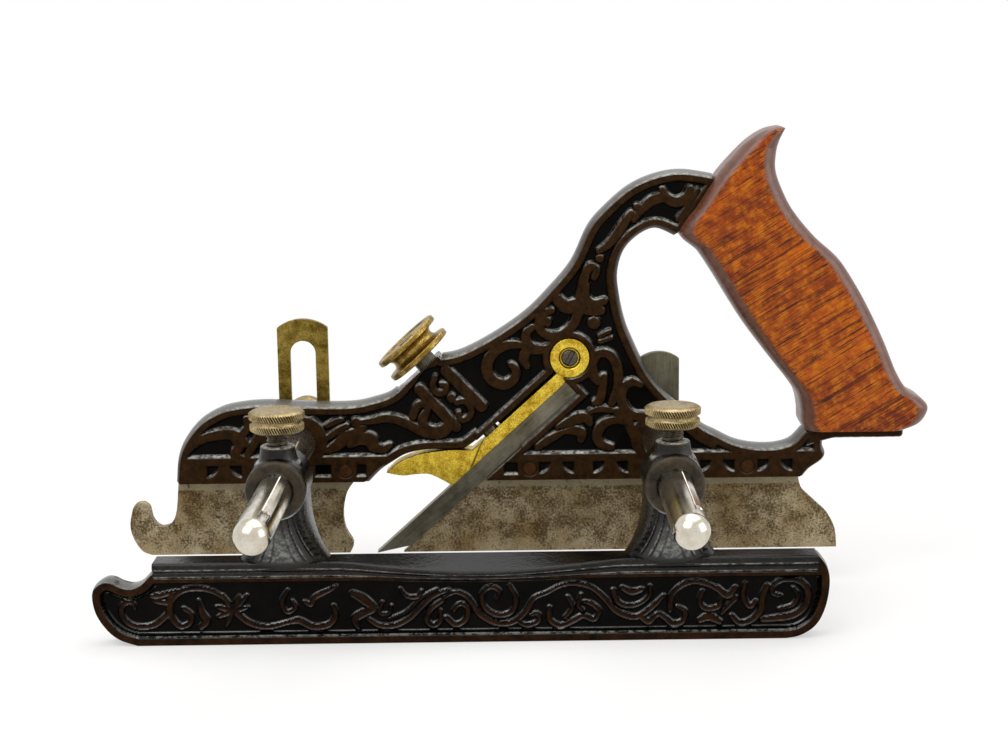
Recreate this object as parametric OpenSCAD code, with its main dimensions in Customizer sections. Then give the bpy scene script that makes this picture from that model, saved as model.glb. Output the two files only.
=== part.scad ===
// Plough plane with a scroll-cast stock, two-piece steel skate, clamped cutter, sliding fence on two
// rods, slotted depth stop and slitting blade. Millimetres. +X runs towards the handle, +Y to the far
// side, +Z up. The origin is the foot of the bed: on the sole, at the front end of the rear skate, in the
// middle of its thickness.

/* [Stock] */
// Length of the skate from the curled toe to the heel
skate_len = 255; // [230:1:306]
// Height of the casting from its underside to the top of the arch
cast_rise = 108; // [92:1:130]
// Thickness of the casting at its flat rim
cast_t = 12.5; // [11.5:0.1:15]
// How far the outer edge swells beyond the flat face
crown = 1.6; // [0.4:0.1:2.2]
// Width of the flat rim round the carved panels
rim_w = 3.2; // [2:0.1:5]
// Depth of the panels below the rim
panel_depth = 2; // [0.8:0.1:2.2]
// Height of the plain band along the underside
band_h = 10.8; // [9:0.1:14]

/* [Skate] */
// Height of the skate below the casting
skate_h = 27.3; // [22:0.1:34]
// Thickness of the skate plates
skate_t = 3.2; // [2.4:0.1:4]
// Height of the tongue in the casting's groove
tongue_h = 7; // [5:0.1:9]
// Diameter of the skate rivets
rivet_d = 4.2; // [3:0.1:5]

/* [Cutter] */
// Angle of the bed above the sole
bed_angle = 42; // [40:0.5:45]
// Length of the cutter
cutter_len = 93; // [84:0.5:112]
// Thickness of the cutter
cutter_t = 6.4; // [5:0.1:7.8]
// Width of the cutter across the skate
cutter_w = 4.8; // [4:0.1:7]
// Angle of the ground bevel to the face
bevel_angle = 30; // [25:1:35]

/* [Clamp] */
// Thickness of the lever's arm
lever_arm = 4.6; // [3.6:0.1:5.2]
// Width of the lever's arm across the slot
lever_w = 5.2; // [4:0.1:6]
// Diameter of the lever's round hub
hub_d = 14.2; // [12:0.1:17]
// Diameter of the pivot screw's shank
pivot_d = 5; // [4:0.1:6]
// Distance of the clamp screw from the cutting edge, along the bed
clamp_u = 60.6; // [57:0.1:64]
// Height of the clamp boss above the cutter's face
boss_top = 39; // [36:0.1:46]
// Diameter of the clamp knob
knob_d = 25.6; // [20:0.1:31]
// Height of the clamp knob
knob_h = 8.6; // [7:0.1:11]
// Diameter of the clamp screw
stem_d = 7.8; // [6:0.1:8.2]
// Diameter of the clamp screw's tip
tip_d = 6; // [4.5:0.1:7]
// Wall of the clamp boss beside the screw
boss_wall = 3.1; // [1:0.1:4]
// Free height between the clamp boss and the knob
knob_lift = 4.8; // [3:0.1:8]

/* [Rods] */
// Diameter of the rods
rod_d = 11.1; // [9:0.1:12.5]
// Distance between the two rods
rod_gap = 127; // [106:1:152]
// Distance of the front rod before the cutting edge
rod_front = 26; // [22:0.5:31]
// Height of the rods above the casting's underside
rod_rise = 14.8; // [13:0.1:18]
// How far the rods stand out of the casting
rod_reach = 131.8; // [110:1:158]
// Diameter of the hole for the turning pin near the end of each rod
pin_hole_d = 3; // [2:0.1:4]

/* [Fence] */
// Length of the fence
fence_len = 242; // [210:1:290]
// Height of the fence
fence_h = 28; // [24:0.5:34]
// Thickness of the fence
fence_t = 10; // [8:0.1:12]
// How far the fence reaches below the sole
fence_drop = 13; // [9:0.5:16]
// Distance between the fence and the casting
fence_gap = 50; // [30:1:70]
// Outer diameter of the rod bosses on the fence
fence_boss_d = 19; // [16.5:0.1:23]
// Length of the rod bosses on the fence
fence_boss_l = 23; // [19:0.5:30]
// Height of the bosses' necks above the rods
neck_rise = 5; // [3:0.1:9]
// Free height between a neck and its thumb screw's head
thumb_lift = 4; // [2:0.1:8]
// Diameter of the thumb screws' heads
thumb_d = 18; // [15:0.1:22]
// Height of the thumb screws' heads
thumb_h = 7.2; // [6:0.1:9]
// Diameter of the thumb screws' threads
thumb_thread = 7; // [5:0.1:8]

/* [Handle] */
// Thickness of the handle
handle_t = 23; // [18:0.5:28]
// Rounding of the handle's edges
handle_round = 6.5; // [4:0.1:8]
// Thickness of the tang under the handle
tang_t = 4.4; // [3.5:0.1:6]
// Width of the tang
tang_w = 13; // [10:0.1:18]
// Diameter of the two wood screws in the handle
wood_screw = 4.2; // [3:0.1:5]
// Diameter of their heads
wood_head = 7.4; // [6:0.1:9]

/* [Depth stop and slitter] */
// Width of the depth stop plate
stop_w = 18.2; // [15:0.1:22]
// Length of the depth stop plate
stop_len = 59; // [50:0.5:70]
// Thickness of the depth stop plate
stop_t = 2.2; // [1.6:0.1:3]
// Width of the slot in the depth stop
stop_slot = 9.1; // [7:0.1:11]
// Height of the depth stop's foot above the sole
stop_up = 25.5; // [22:0.5:26.5]
// Width of the slitting blade
slitter_w = 14.6; // [12:0.1:18]
// Length of the slitting blade
slitter_len = 60; // [54:0.5:68]
// Thickness of the slitting blade
slitter_t = 2.6; // [2:0.1:3.4]
// Width of the slot in the slitting blade
slitter_slot = 6.4; // [5:0.1:8]
// Height of the slitting blade's edge above the sole
slitter_up = 11; // [6:0.5:16]
// Diameter of the heads of the two clamping screws
side_head_d = 15; // [12:0.1:18]
// Diameter of their threads in the casting
side_thread = 4.6; // [3.5:0.1:5.5]

/* [Hidden] */
$fn = 48;

// Fits: faces that slide, turned shafts in their bores, and pieces that are drawn up tight
slide_gap = 0.1;
run_gap = 0.05;
tight_gap = 0.02;
over = 1;

// Drawn size of the outlines below, which stretch with the two driving sizes
drawn_len = 255;
drawn_base = 26;
drawn_rise = 108;
kx = skate_len / drawn_len;
kz = cast_rise / drawn_rise;
face = cast_t / 2;
web = face - panel_depth;
curve_steps = 3;

// Colours
japan = [0.10, 0.09, 0.08];
bare_steel = [0.55, 0.53, 0.48];
skate_brown = [0.45, 0.40, 0.32];
yellow_brass = [0.80, 0.62, 0.25];
pale_brass = [0.78, 0.68, 0.45];
nickel = [0.80, 0.79, 0.75];
rosewood = [0.62, 0.30, 0.10];

// Derived places
edge_x = -cutter_t / sin(bed_angle);
rod_z = skate_h + rod_rise;
rod_xs = [edge_x - rod_front, edge_x - rod_front + rod_gap];
arm_gap = 2;
slot_top = lever_arm + arm_gap;
pivot_u = cutter_len + 6.6;
pivot_w = lever_arm + 1.4;
slot_back = cutter_w / 2 + slide_gap;
slot_open_to = clamp_u + 4;
rivet_z = skate_h + 4;
rivet_xs = [for (x = [-10.2, 55.5, 133]) along(x)];
tang_top = skate_h + (43.2 - drawn_base) * kz;
fence_face = -face - fence_gap;
fence_front = fence_face - fence_t;
fence_top = -fence_drop + fence_h;
boss_front = fence_face - fence_boss_l;
boss_mid = fence_face - fence_boss_l * 0.52;
neck_top = rod_z + rod_d / 2 + neck_rise;
thumb_z = neck_top + thumb_lift;
stop_x = rod_xs[0] + 0.5;
stop_screw_z = rod_z + 5.4;
slitter_x = rod_xs[1] + 1.4;
slitter_screw_z = rod_z - 8;
side_depth = skate_t / 2 + 0.8;
stop_shank = stop_slot - 0.5;
slitter_shank = slitter_slot - 0.5;

// A place of the drawn outline at its real place: along the sole, and as a point
function along(x) = edge_x + x * kx;
function at(p) = [along(p[0]), skate_h + (p[1] - drawn_base) * kz];

// A smooth curve through points (Catmull and Rom), without its last point
function blend(a, b, c, d, t) =
    0.5 * (2 * b + (c - a) * t + (2 * a - 5 * b + 4 * c - d) * t * t + (3 * b - a - 3 * c + d) * t * t * t);
function smooth(p, n = curve_steps) = let (last = len(p) - 1)
    [for (i = [0:last - 1]) for (k = [0:n - 1])
        blend(p[max(i - 1, 0)], p[i], p[i + 1], p[min(i + 2, last)], k / n)];
function placed(p) = [for (q = p) at(q)];

// Puts a shape drawn in X and Z across the thickness from y0 to y1
module across(y0, y1) {
    translate([0, y1, 0]) rotate([90, 0, 0]) linear_extrude(y1 - y0) children();
}

// Turns the bed's own axes (u along the bed, w away from it) to the plane of the drawing
module on_bed() { translate([edge_x, 0]) rotate(bed_angle) children(); }

// The same for solids: X along the bed, Z away from it
module bed_frame() { translate([edge_x, 0, 0]) rotate([0, -bed_angle, 0]) children(); }

// A cylinder along Y from y0 to y1
module rod_y(d, y0, y1) { translate([0, y1, 0]) rotate([90, 0, 0]) cylinder(d = d, h = y1 - y0); }

// Casting outline on its flat face
nose_and_top = [[-69.9, 26], [-68.9, 34.7], [-66.3, 41], [-61.1, 47.3], [-54.6, 51.2], [-48.2, 52.9],
    [-38, 53.7], [-22.4, 52.9], [-7.6, 52.8], [1.3, 54.5], [7.3, 56.7], [12, 61], [16.3, 66.8],
    [20.5, 69.2], [31, 70.9], [43.1, 76.8], [55.1, 84.9], [64.1, 93.7], [72.1, 103.3], [77.9, 115.4],
    [83.7, 122.1], [92, 129], [101, 132.8], [110, 133.9], [121.5, 132]];
grip_hole = [[108.4, 113.4], [100.8, 116.6], [94.2, 114.4], [88.2, 108.5], [85.6, 100], [86.2, 91.5],
    [88, 83], [90.6, 76], [96.6, 63.6], [104, 54.7], [115.5, 44.2], [121.4, 40.9], [127.4, 37.8],
    [133.1, 36.2], [139.2, 35.6], [144.9, 36], [149.9, 37.8], [153.9, 42]];
bar_end = [[158.9, 43], [158.7, 36.6], [159.5, 33], [154.4, 29.1], [151.9, 26]];
throat = [[37.5, 42.6], [33.8, 39.8], [30.6, 38.4], [18.8, 38.2], [11, 36.7], [5.6, 33.7], [1.2, 30.7],
    [-3.5, 26]];
arch_foot = at([107.9, 113.6]);
arch_tip = at([120.6, 132.7]);
arch_turn = atan2(arch_tip[1] - arch_foot[1], arch_tip[0] - arch_foot[0]);

module casting_outline() {
    polygon(concat(placed(smooth(nose_and_top)), placed(smooth(grip_hole)), placed(smooth(bar_end)),
        [at([151.9, 26]), at([38, 26])], placed(smooth(throat)), [at([-3.5, 26])]));
}

// Everything cut from the outline: what lies below the band, the arch's end, the handle's seat and the
// room under the clamp knob
module outline_cuts() {
    translate([-skate_len, -skate_h]) square([2 * skate_len, 2 * skate_h]);
    translate(arch_foot) rotate(arch_turn) translate([-3, -20]) square([40, 20]);
    translate([along(153), tang_top]) square([40, 40]);
    on_bed() translate([clamp_u - knob_d / 2 - run_gap, boss_top + knob_lift - run_gap])
        square([knob_d + 2 * run_gap, knob_d]);
}

// Slot for cutter and lever, and the round pocket for the hub, in the drawing's plane
module slot_shape() {
    on_bed() translate([-skate_len, -cutter_t]) square([skate_len + slot_open_to, cutter_t + slot_top]);
}
module pocket_shape() {
    on_bed() {
        translate([0, -cutter_t]) square([cutter_len + 0.5, cutter_t + slot_top]);
        translate([cutter_len - 4, 0]) square([6, slot_top]);
        translate([pivot_u, pivot_w]) circle(d = hub_d + 0.9);
    }
}

// Ornament in relief on the panels
module crescent(p, r, w, a0, a1) {
    n = 8;
    translate(at(p)) polygon(concat(
        [for (i = [0:n]) let (a = a0 + (a1 - a0) * i / n) r * [cos(a), sin(a)]],
        [for (i = [n:-1:0]) let (a = a0 + (a1 - a0) * i / n, s = w * (0.35 + 0.65 * sin(180 * i / n)))
            (r - s) * [cos(a), sin(a)]]));
}
module ball(p, r) { translate(at(p)) circle(r = r, $fn = 20); }
module scroll(p, r, w, a0, a1) {
    crescent(p, r, w, a0, a1);
    translate(at(p)) rotate(a1) translate([r - w * 0.6, 0]) circle(r = w * 0.62, $fn = 16);
}
module leaf(a, b, w) {
    p = at(a);
    q = at(b);
    n = 6;
    long = norm(q - p);
    translate(p) rotate(atan2(q[1] - p[1], q[0] - p[0])) polygon(concat(
        [for (i = [0:n]) [long * i / n, w * sin(180 * i / n)]],
        [for (i = [n - 1:-1:1]) [long * i / n, -w * 0.6 * sin(180 * i / n)]]));
}
module ornament() {
    scroll([47, 65], 6.6, 2, -150, 120);
    scroll([57, 74], 4.2, 1.6, 40, 300);
    scroll([87, 57], 5.4, 2.2, 60, 320);
    scroll([84, 45], 5.2, 2, 80, 330);
    scroll([79, 64], 4.4, 1.8, 0, 200);
    scroll([14, 46], 5.2, 2, -60, 200);
    scroll([66, 92], 4.6, 1.7, 20, 260);
    leaf([-8, 41], [12, 46], 2.2);
    leaf([-62, 38], [-40, 45], 3);
    leaf([-58, 44], [-42, 49], 1.8);
    leaf([60, 42], [76, 52], 3);
    leaf([48, 38.6], [60, 43], 1.6);
    leaf([71, 96], [80, 112], 2.2);
    leaf([84, 118], [98, 129], 2.4);
    leaf([76, 84], [82, 98], 1.8);
    leaf([112, 39.5], [123, 37], 1.2);
    ball([77.5, 84], 2.3);
    ball([79.6, 106], 2.2);
    ball([97, 123], 2);
}

// Panels sunk into both faces, clear of the rim, the band, the clamp channel, pads and bosses
module panel_shape() {
    difference() {
        offset(delta = -rim_w) difference() {
            casting_outline();
            outline_cuts();
            slot_shape();
            pocket_shape();
        }
        translate([-skate_len, -over]) square([2 * skate_len, skate_h + band_h + over]);
        on_bed() translate([clamp_u - stem_d, 0]) square([2 * stem_d, boss_top + 4]);
        for (x = rod_xs) translate([x, rod_z]) circle(d = rod_d + 7);
    }
}

// Row of small sunk dentils along the band
module dentils() {
    pitch = 9.6;
    for (run = [[-60, -38], [66, 86], [116, 126]])
        for (x = [along(run[0]):pitch:along(run[1])], side = [0, 4.6])
            translate([x + side, skate_h + 2.4]) square([2.6, 4.4]);
}

module casting_body() {
    layers = 4;
    for (k = [1:layers]) {
        grow = crown * (1 - pow((k - 1) / (layers - 1), 2));
        half = face * k / layers;
        across(-half, half) difference() {
            offset(delta = grow) casting_outline();
            outline_cuts();
            slot_shape();
        }
    }
    // Boss that always reaches the clamp knob, a little thinner than the rim
    boss_w = stem_d + 2 * boss_wall;
    boss_back = face - 0.25;
    bed_frame() translate([clamp_u - boss_w / 2, -boss_back, 1]) cube([boss_w, 2 * boss_back, boss_top - 1]);
    // Tang under the handle
    translate([along(150), -tang_w / 2, tang_top - tang_t]) cube([39 * kx, tang_w, tang_t]);
}

module stock_casting() {
    color(japan) difference() {
        union() {
            difference() {
                casting_body();
                for (side = [-1, 1])
                    across(side > 0 ? web : -face - over, side > 0 ? face + over : -web) panel_shape();
                for (side = [-1, 1])
                    across(side > 0 ? face - 1.2 : -face - over, side > 0 ? face + over : 1.2 - face) dentils();
            }
            for (side = [-1, 1])
                across(side > 0 ? web - 0.1 : 0.5 - face, side > 0 ? face - 0.5 : 0.1 - web)
                    intersection() {
                        ornament();
                        offset(delta = 0.4) panel_shape();
                    }
            for (x = rod_xs) translate([x, 0, rod_z]) rod_y(rod_d + 4, -face - 0.5, 0);
            // Flat pads that the depth stop and the slitting blade slide on
            translate([stop_x - stop_w / 2 - 1.5, 0, skate_h]) cube([stop_w + 3, face, 25]);
            translate([slitter_x - slitter_w / 2 - 1.5, 0, skate_h]) cube([slitter_w + 3, face, 22]);
        }
        // Pocket for cutter and lever, left closed on the far side
        across(-face - over, slot_back) pocket_shape();
        across(-face - over, face + over) slot_shape();
        // Room for the horn's swing under the throat
        across(-face - over, face + over) on_bed() offset(delta = arm_gap) horn_shape();
        // Clamp screw
        bed_frame() translate([clamp_u, 0, slot_top - over])
            cylinder(d = stem_d + 2 * run_gap, h = boss_top - slot_top + knob_lift);
        // Lever pivot screw
        bed_frame() translate([pivot_u, 0, pivot_w]) rod_y(pivot_d + 2 * tight_gap, 0, face + over);
        // Skate grooves, the rear one from the bed's foot
        for (g = [[along(-70), along(-3)], [skate_h / tan(bed_angle) - over, along(152)]])
            translate([g[0], -skate_t / 2 - tight_gap, skate_h - over])
                cube([g[1] - g[0], skate_t + 2 * tight_gap, tongue_h + over + tight_gap]);
        for (x = rivet_xs) translate([x, 0, rivet_z]) rod_y(rivet_d + 2 * tight_gap, -face - over, face + over);
        for (x = rod_xs) translate([x, 0, rod_z]) rod_y(rod_d - 3 + 2 * tight_gap, -face - over, 0);
        translate([stop_x, 0, stop_screw_z]) rod_y(side_thread + 2 * run_gap, side_depth - 0.4, face + over);
        translate([slitter_x, 0, slitter_screw_z]) rod_y(side_thread + 2 * run_gap, side_depth - 0.4, face + over);
        handle_screw_places() translate([0, 0, -over]) cylinder(d = wood_screw + 2 * tight_gap, h = tang_t + 2 * over);
    }
}

// Skates
toe_curl = [[-70.9, 26], [-71.4, 20.6], [-72, 16], [-73, 12.8], [-74.7, 10.7], [-77.6, 10], [-79.7, 11.2],
    [-81, 13.2], [-81.6, 16.1], [-82.2, 17.5], [-84.1, 18.6], [-86.4, 18.2], [-87.8, 16.5], [-89, 11.3],
    [-88.6, 7.6], [-87, 4], [-84.7, 1.2], [-81.4, 0]];
skate_throat = [[-9.8, 0], [-8.5, 3.5], [-11.2, 8.5], [-11.9, 14.7], [-10.3, 21.5], [-7, 26]];
heel_curve = [[166, 0], [165.4, 6.2], [162.8, 11.6], [159.8, 14.6], [156.3, 17.7], [153.3, 20.6],
    [152.1, 23.6], [151.9, 26]];
function skate_at(p) = [along(p[0]), p[1] * skate_h / drawn_base];
function skate_curve(p) = [for (q = smooth(p)) skate_at(q)];

module skate_plate() { across(-skate_t / 2, skate_t / 2) children(); }

module front_skate() {
    color(skate_brown) difference() {
        skate_plate() {
            polygon(concat(skate_curve(toe_curl), [skate_at([-81.4, 0])], skate_curve(skate_throat),
                [skate_at([-7, 26]), skate_at([-10, 26]) + [0, tongue_h], skate_at([-67, 26]) + [0, tongue_h],
                skate_at([-67, 26])]));
        }
        translate([rivet_xs[0], 0, rivet_z]) rod_y(rivet_d + 2 * tight_gap, -skate_t, skate_t);
    }
}

module rear_skate() {
    color(skate_brown) difference() {
        skate_plate() difference() {
            polygon(concat([[edge_x, 0]], skate_curve(heel_curve), [skate_at([151.9, 26]),
                skate_at([149, 26]) + [0, tongue_h], [0, skate_h + tongue_h]]));
            on_bed() translate([-20, -cutter_t]) square([cutter_len, cutter_t + 60]);
        }
        for (x = [rivet_xs[1], rivet_xs[2]])
            translate([x, 0, rivet_z]) rod_y(rivet_d + 2 * tight_gap, -skate_t, skate_t);
    }
}

module skate_rivets() {
    color(japan) for (x = rivet_xs) translate([x, 0, rivet_z]) rod_y(rivet_d, -face, face);
}

// Handle: sections lofted between its inner and outer edge
inner_edge = [[153.2, 43.2], [151.9, 46], [151.6, 50.5], [150.3, 56], [147, 61], [143, 66], [137.3, 73.4],
    [131.7, 81], [126.2, 89.6], [120.6, 98.8], [115, 107.1], [108.6, 113.8], [114.8, 123.4],
    [121, 132.9], [126.2, 139.5], [132.6, 145.9], [139.2, 150.2], [144.8, 151.6]];
outer_edge = [[189.5, 43.2], [195, 45.6], [197.6, 50.4], [195, 54], [189.8, 57], [185.8, 63],
    [180.8, 74], [175.8, 84.6], [170.5, 94.3], [164, 104], [155.4, 112], [148, 121],
    [144, 129], [142.4, 136], [142.9, 141.6], [144, 146.2], [145.5, 149.4], [146.3, 150.9]];
section_points = 24;

// Rounded bar section: half width a, half thickness b, corner rounding r, point k round it
function bar_point(a, b, r, k) = let (
    t = 360 * (k + 0.5) / section_points,
    sx = cos(t) > 0 ? 1 : -1,
    sy = sin(t) > 0 ? 1 : -1,
    q = floor(4 * (k + 0.5) / section_points),
    turn = t - 90 * q,
    even = 90 * (turn - 90 / (section_points / 4) / 2) / (90 - 90 / (section_points / 4)),
    c = 90 * q + even)
    [sx * (a - r) + r * cos(c), sy * (b - r) + r * sin(c)];

function handle_section(i) = let (
    p = at(inner_edge[i]),
    q = at(outer_edge[i]),
    half = norm(q - p) / 2,
    mid = (p + q) / 2,
    along = (q - p) / (2 * half),
    thick = handle_t / 2 * (i < 13 ? 1 : 1 - 0.5 * pow((i - 12) / 5, 2)),
    r = min(handle_round, half * 0.98, thick * 0.98))
    [for (k = [0:section_points - 1]) let (s = bar_point(half, thick, r, k))
        [mid[0] + along[0] * s[0], s[1], mid[1] + along[1] * s[0]]];

function loft_faces(rings, n) = concat(
    [for (i = [0:rings - 2]) for (k = [0:n - 1]) let (a = i * n + k, b = i * n + (k + 1) % n)
        [a, b, b + n]],
    [for (i = [0:rings - 2]) for (k = [0:n - 1]) let (a = i * n + k, b = i * n + (k + 1) % n)
        [a, b + n, a + n]],
    [[for (k = [n - 1:-1:0]) k]],
    [[for (k = [0:n - 1]) (rings - 1) * n + k]]);

module handle() {
    rings = len(inner_edge);
    color(rosewood) difference() {
        translate([tight_gap, 0, tight_gap]) polyhedron(
            points = [for (i = [0:rings - 1]) each handle_section(i)],
            faces = loft_faces(rings, section_points));
        handle_screw_places() translate([0, 0, tang_t - over])
            cylinder(d = wood_screw + 2 * tight_gap, h = wood_screw_len + 2 * over);
    }
}

// Wood screws, up through the tang
wood_screw_len = 15;
wood_head_h = 2;
driver_slot = [10, 1, 1.4];

module handle_screw_places() {
    for (x = [165.5, 181]) translate([along(x), 0, tang_top - tang_t]) children();
}

module handle_screws() {
    color(bare_steel) handle_screw_places() difference() {
        union() {
            translate([0, 0, -wood_head_h]) cylinder(d1 = wood_head - 1.4, d2 = wood_head, h = wood_head_h);
            cylinder(d = wood_screw, h = tang_t + wood_screw_len);
        }
        translate([-driver_slot[0] / 2, -driver_slot[1] / 2, -wood_head_h - 0.5]) cube(driver_slot);
    }
}

// Cutter, drawn in the bed's axes with its ground bevel
module cutter() {
    bevel = cutter_t / tan(bevel_angle);
    color(bare_steel) bed_frame() across(-cutter_w / 2, cutter_w / 2) polygon([[0, 0], [cutter_len, 0],
        [cutter_len, tight_gap - cutter_t], [bevel, tight_gap - cutter_t]]);
}

// Lever in the bed's axes: hub, arm and curved horn
horn_top = [[51.6, 0], [46.4, 5.1], [41.4, 8.8], [36.4, 12], [29.2, 14.7], [23.1, 14.9]];
horn_under = [[23.1, 14.9], [26.6, 10.3], [30.7, 7.2], [34.4, 3.6], [37.2, 0.6 - lever_arm]];
horn_half = lever_w / 2 + 1.4;

module horn_shape() {
    function horn(p) = [for (q = smooth(p, 4)) q + [0, lever_arm]];
    polygon(concat(horn(horn_top), horn(horn_under), [[37.2, tight_gap], [46, tight_gap], [56, lever_arm]]));
}

module lever() {
    color(yellow_brass) bed_frame() difference() {
        union() {
            across(-horn_half, horn_half) horn_shape();
            across(-lever_w / 2, lever_w / 2 - 0.4) polygon([[38, tight_gap], [cutter_len - 1, tight_gap],
                [pivot_u, pivot_w - 4], [pivot_u, pivot_w + 4], [pivot_u - 6, lever_arm], [50, lever_arm]]);
            translate([pivot_u, 0, pivot_w]) rod_y(hub_d, 0.4 - face, lever_w / 2 - 0.4);
        }
        translate([pivot_u, 0, pivot_w]) rod_y(pivot_d + 2 * run_gap, -face - over, face);
        translate([pivot_u, 0, pivot_w]) rod_y(7.4, -face - over, 1.8 - face);
    }
}

module lever_pivot_screw() {
    color(bare_steel) bed_frame() translate([pivot_u, 0, pivot_w]) difference() {
        union() {
            rod_y(7.1, 0.3 - face, 1.7 - face);
            rod_y(pivot_d, 1.6 - face, face);
        }
        rotate([0, 12, 0]) translate([-5, -face, -0.5]) cube([10, 1.1, 1]);
    }
}

// Clamp screw: waisted knob and stem, both turned about the screw's axis
module clamp_axis() { bed_frame() translate([clamp_u, 0, 0]) children(); }

module clamp_knob() {
    r = knob_d / 2;
    waist = r * 0.76;
    rim = knob_h * 0.25;
    low = boss_top + knob_lift;
    color(pale_brass) clamp_axis() translate([0, 0, low]) difference() {
        rotate_extrude($fn = 64) polygon(concat(
            [[0, 0], [r - 0.5, 0], [r, 0.5], [r, rim - 0.4], [r - 0.4, rim]],
            [for (a = [-80:20:80]) [waist + 1.6 - 2.6 * cos(a), knob_h / 2 + (knob_h / 2 - rim) * sin(a)]],
            [[r - 0.4, knob_h - rim], [r, knob_h - rim + 0.4], [r, knob_h - 0.5], [r - 0.5, knob_h], [0, knob_h]]));
        translate([0, 0, -over]) cylinder(d = stem_d - 2 + 2 * tight_gap, h = knob_h * 0.7 + over);
    }
}

module clamp_stem() {
    low = boss_top + knob_lift;
    color(bare_steel) clamp_axis() {
        translate([0, 0, lever_arm + tight_gap]) cylinder(d = tip_d, h = slot_top + 3 - lever_arm);
        translate([0, 0, slot_top + 2]) cylinder(d = stem_d, h = low - slot_top - 2 - tight_gap);
        translate([0, 0, low - 1]) cylinder(d = stem_d - 2, h = knob_h * 0.7 + 1 - tight_gap);
    }
}

// Rods with a threaded spigot in the casting, a domed end and a hole for the turning pin
module fence_rod(x) {
    shoulder = -face - 0.5 - tight_gap;
    tip = -face - rod_reach;
    color(nickel) translate([x, 0, rod_z]) difference() {
        union() {
            rod_y(rod_d, tip + rod_d / 2, shoulder);
            translate([0, tip + rod_d / 2, 0]) sphere(d = rod_d);
            rod_y(rod_d - 3, shoulder - 1, -0.4);
        }
        translate([0, tip + 15, 0]) rotate([0, 35, 0]) cylinder(d = pin_hole_d, h = 2 * rod_d, center = true);
    }
}
module front_rod() { fence_rod(rod_xs[0]); }
module rear_rod() { fence_rod(rod_xs[1]); }

// Fence: panel with curled ends, moulded ledge, flared pedestals, bored bosses
hook_reach = 63.2;
fence_left = rod_xs[0] - hook_reach;
drawn_fence = [242, 28];
function fence_at(p) = [fence_left + (p[0] + 89.2) * fence_len / drawn_fence[0],
    -fence_drop + (p[1] + 13) * fence_h / drawn_fence[1]];
fence_hook = [[-69, 11.4], [-70.1, 10.5], [-73.1, 7.6], [-76.6, 6.3], [-80.1, 7], [-82.9, 8.4], [-85.6, 8.5],
    [-88.5, 6.4], [-89.2, 3.2], [-88.1, -2.2], [-84.9, -7.4], [-80.8, -10.9], [-74.9, -13]];
fence_heel = [[138.7, -13], [143.6, -12], [148.6, -8.5], [151.6, -2.4], [152.8, 5.5], [151.8, 11], [149, 15]];

module fence_outline() {
    polygon([for (q = concat(smooth(fence_hook), [[-74.9, -13]], smooth(fence_heel), [[149, 15], [-69, 15]]))
        fence_at(q)]);
}

// Ledge moulding, as a section across the fence
ledge_h = 7;
module ledge_section() {
    polygon([[fence_face, fence_top], [fence_front + 0.6, fence_top], [fence_front, fence_top - 0.6],
        [fence_front, fence_top - 2.2], [fence_front + 1, fence_top - 2.6], [fence_front + 1, fence_top - 4],
        [fence_front + 1.8, fence_top - 5], [fence_front + 2.2, fence_top - ledge_h],
        [fence_face, fence_top - ledge_h]]);
}

module pedestal(x) {
    foot = fence_top - 2;
    top = rod_z;
    flare = [[fence_boss_d / 2 - 0.7, top], [fence_boss_d / 2 - 0.9, foot + 15], [fence_boss_d / 2 + 0.8, foot + 8],
        [fence_boss_d / 2 + 3, foot + 4.5], [fence_boss_d / 2 + 6.5, foot + 2], [fence_boss_d / 2 + 7, foot]];
    side = [[boss_front + 2, top], [boss_front + 3, top - 11], [fence_front - 5, foot + 7],
        [fence_front - 0.4, foot + 2.4], [fence_front, foot]];
    edge = smooth(flare);
    fall = smooth(side);
    intersection() {
        across(boss_front, fence_face) translate([x, 0]) polygon(concat(
            edge, [[flare[5][0], foot]], [[-flare[5][0], foot]],
            [for (i = [len(edge) - 1:-1:0]) [-edge[i][0], edge[i][1]]]));
        translate([x - 30, 0, 0]) rotate([90, 0, 90]) linear_extrude(60)
            polygon(concat(fall, [[fence_front, foot], [fence_face, foot], [fence_face, top]]));
    }
}

// Long shallow dip in the ledge's front edge, between the pedestals
module ledge_dip() {
    wide = 92 * fence_len / drawn_fence[0];
    deep = 4.4;
    r = (wide * wide / 4 + deep * deep) / (2 * deep);
    translate([(rod_xs[0] + rod_xs[1]) / 2 + 1, fence_face - 1, fence_top]) rotate([90 + atan(deep / fence_t), 0, 0])
        translate([0, r, -2 * fence_t]) cylinder(r = r, h = 5 * fence_t, $fn = 200);
}

module fence_panel() {
    ledge_x0 = fence_at([-69, 0])[0];
    ledge_x1 = fence_at([149, 0])[0];
    difference() {
        union() {
            difference() {
                across(fence_front + 1, fence_face) fence_outline();
                across(fence_front, fence_front + 2.2) intersection() {
                    offset(delta = -3) fence_outline();
                    translate([-skate_len, -skate_h]) square([2 * skate_len, skate_h + fence_top - ledge_h - 0.5]);
                }
            }
            translate([ledge_x0, 0, 0]) rotate([90, 0, 90]) linear_extrude(ledge_x1 - ledge_x0) ledge_section();
        }
        ledge_dip();
    }
}

module fence_casting() {
    color(japan) difference() {
        union() {
            fence_panel();
            for (x = rod_xs) {
                pedestal(x);
                translate([x, 0, rod_z]) rod_y(fence_boss_d, boss_front + 2, fence_face);
                translate([x, 0, rod_z]) rod_y(fence_boss_d - 0.8, boss_front, boss_front + 2.5);
                translate([x, boss_mid, rod_z])
                    cylinder(d1 = fence_boss_d - 0.6, d2 = thumb_thread + 4, h = neck_top - rod_z);
            }
        }
        for (x = rod_xs) {
            translate([x, 0, rod_z]) rod_y(rod_d + 2 * run_gap, boss_front - over, fence_face + over);
            translate([x, boss_mid, rod_z]) cylinder(d = thumb_thread + 2 * run_gap, h = neck_top);
        }
    }
}

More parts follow.
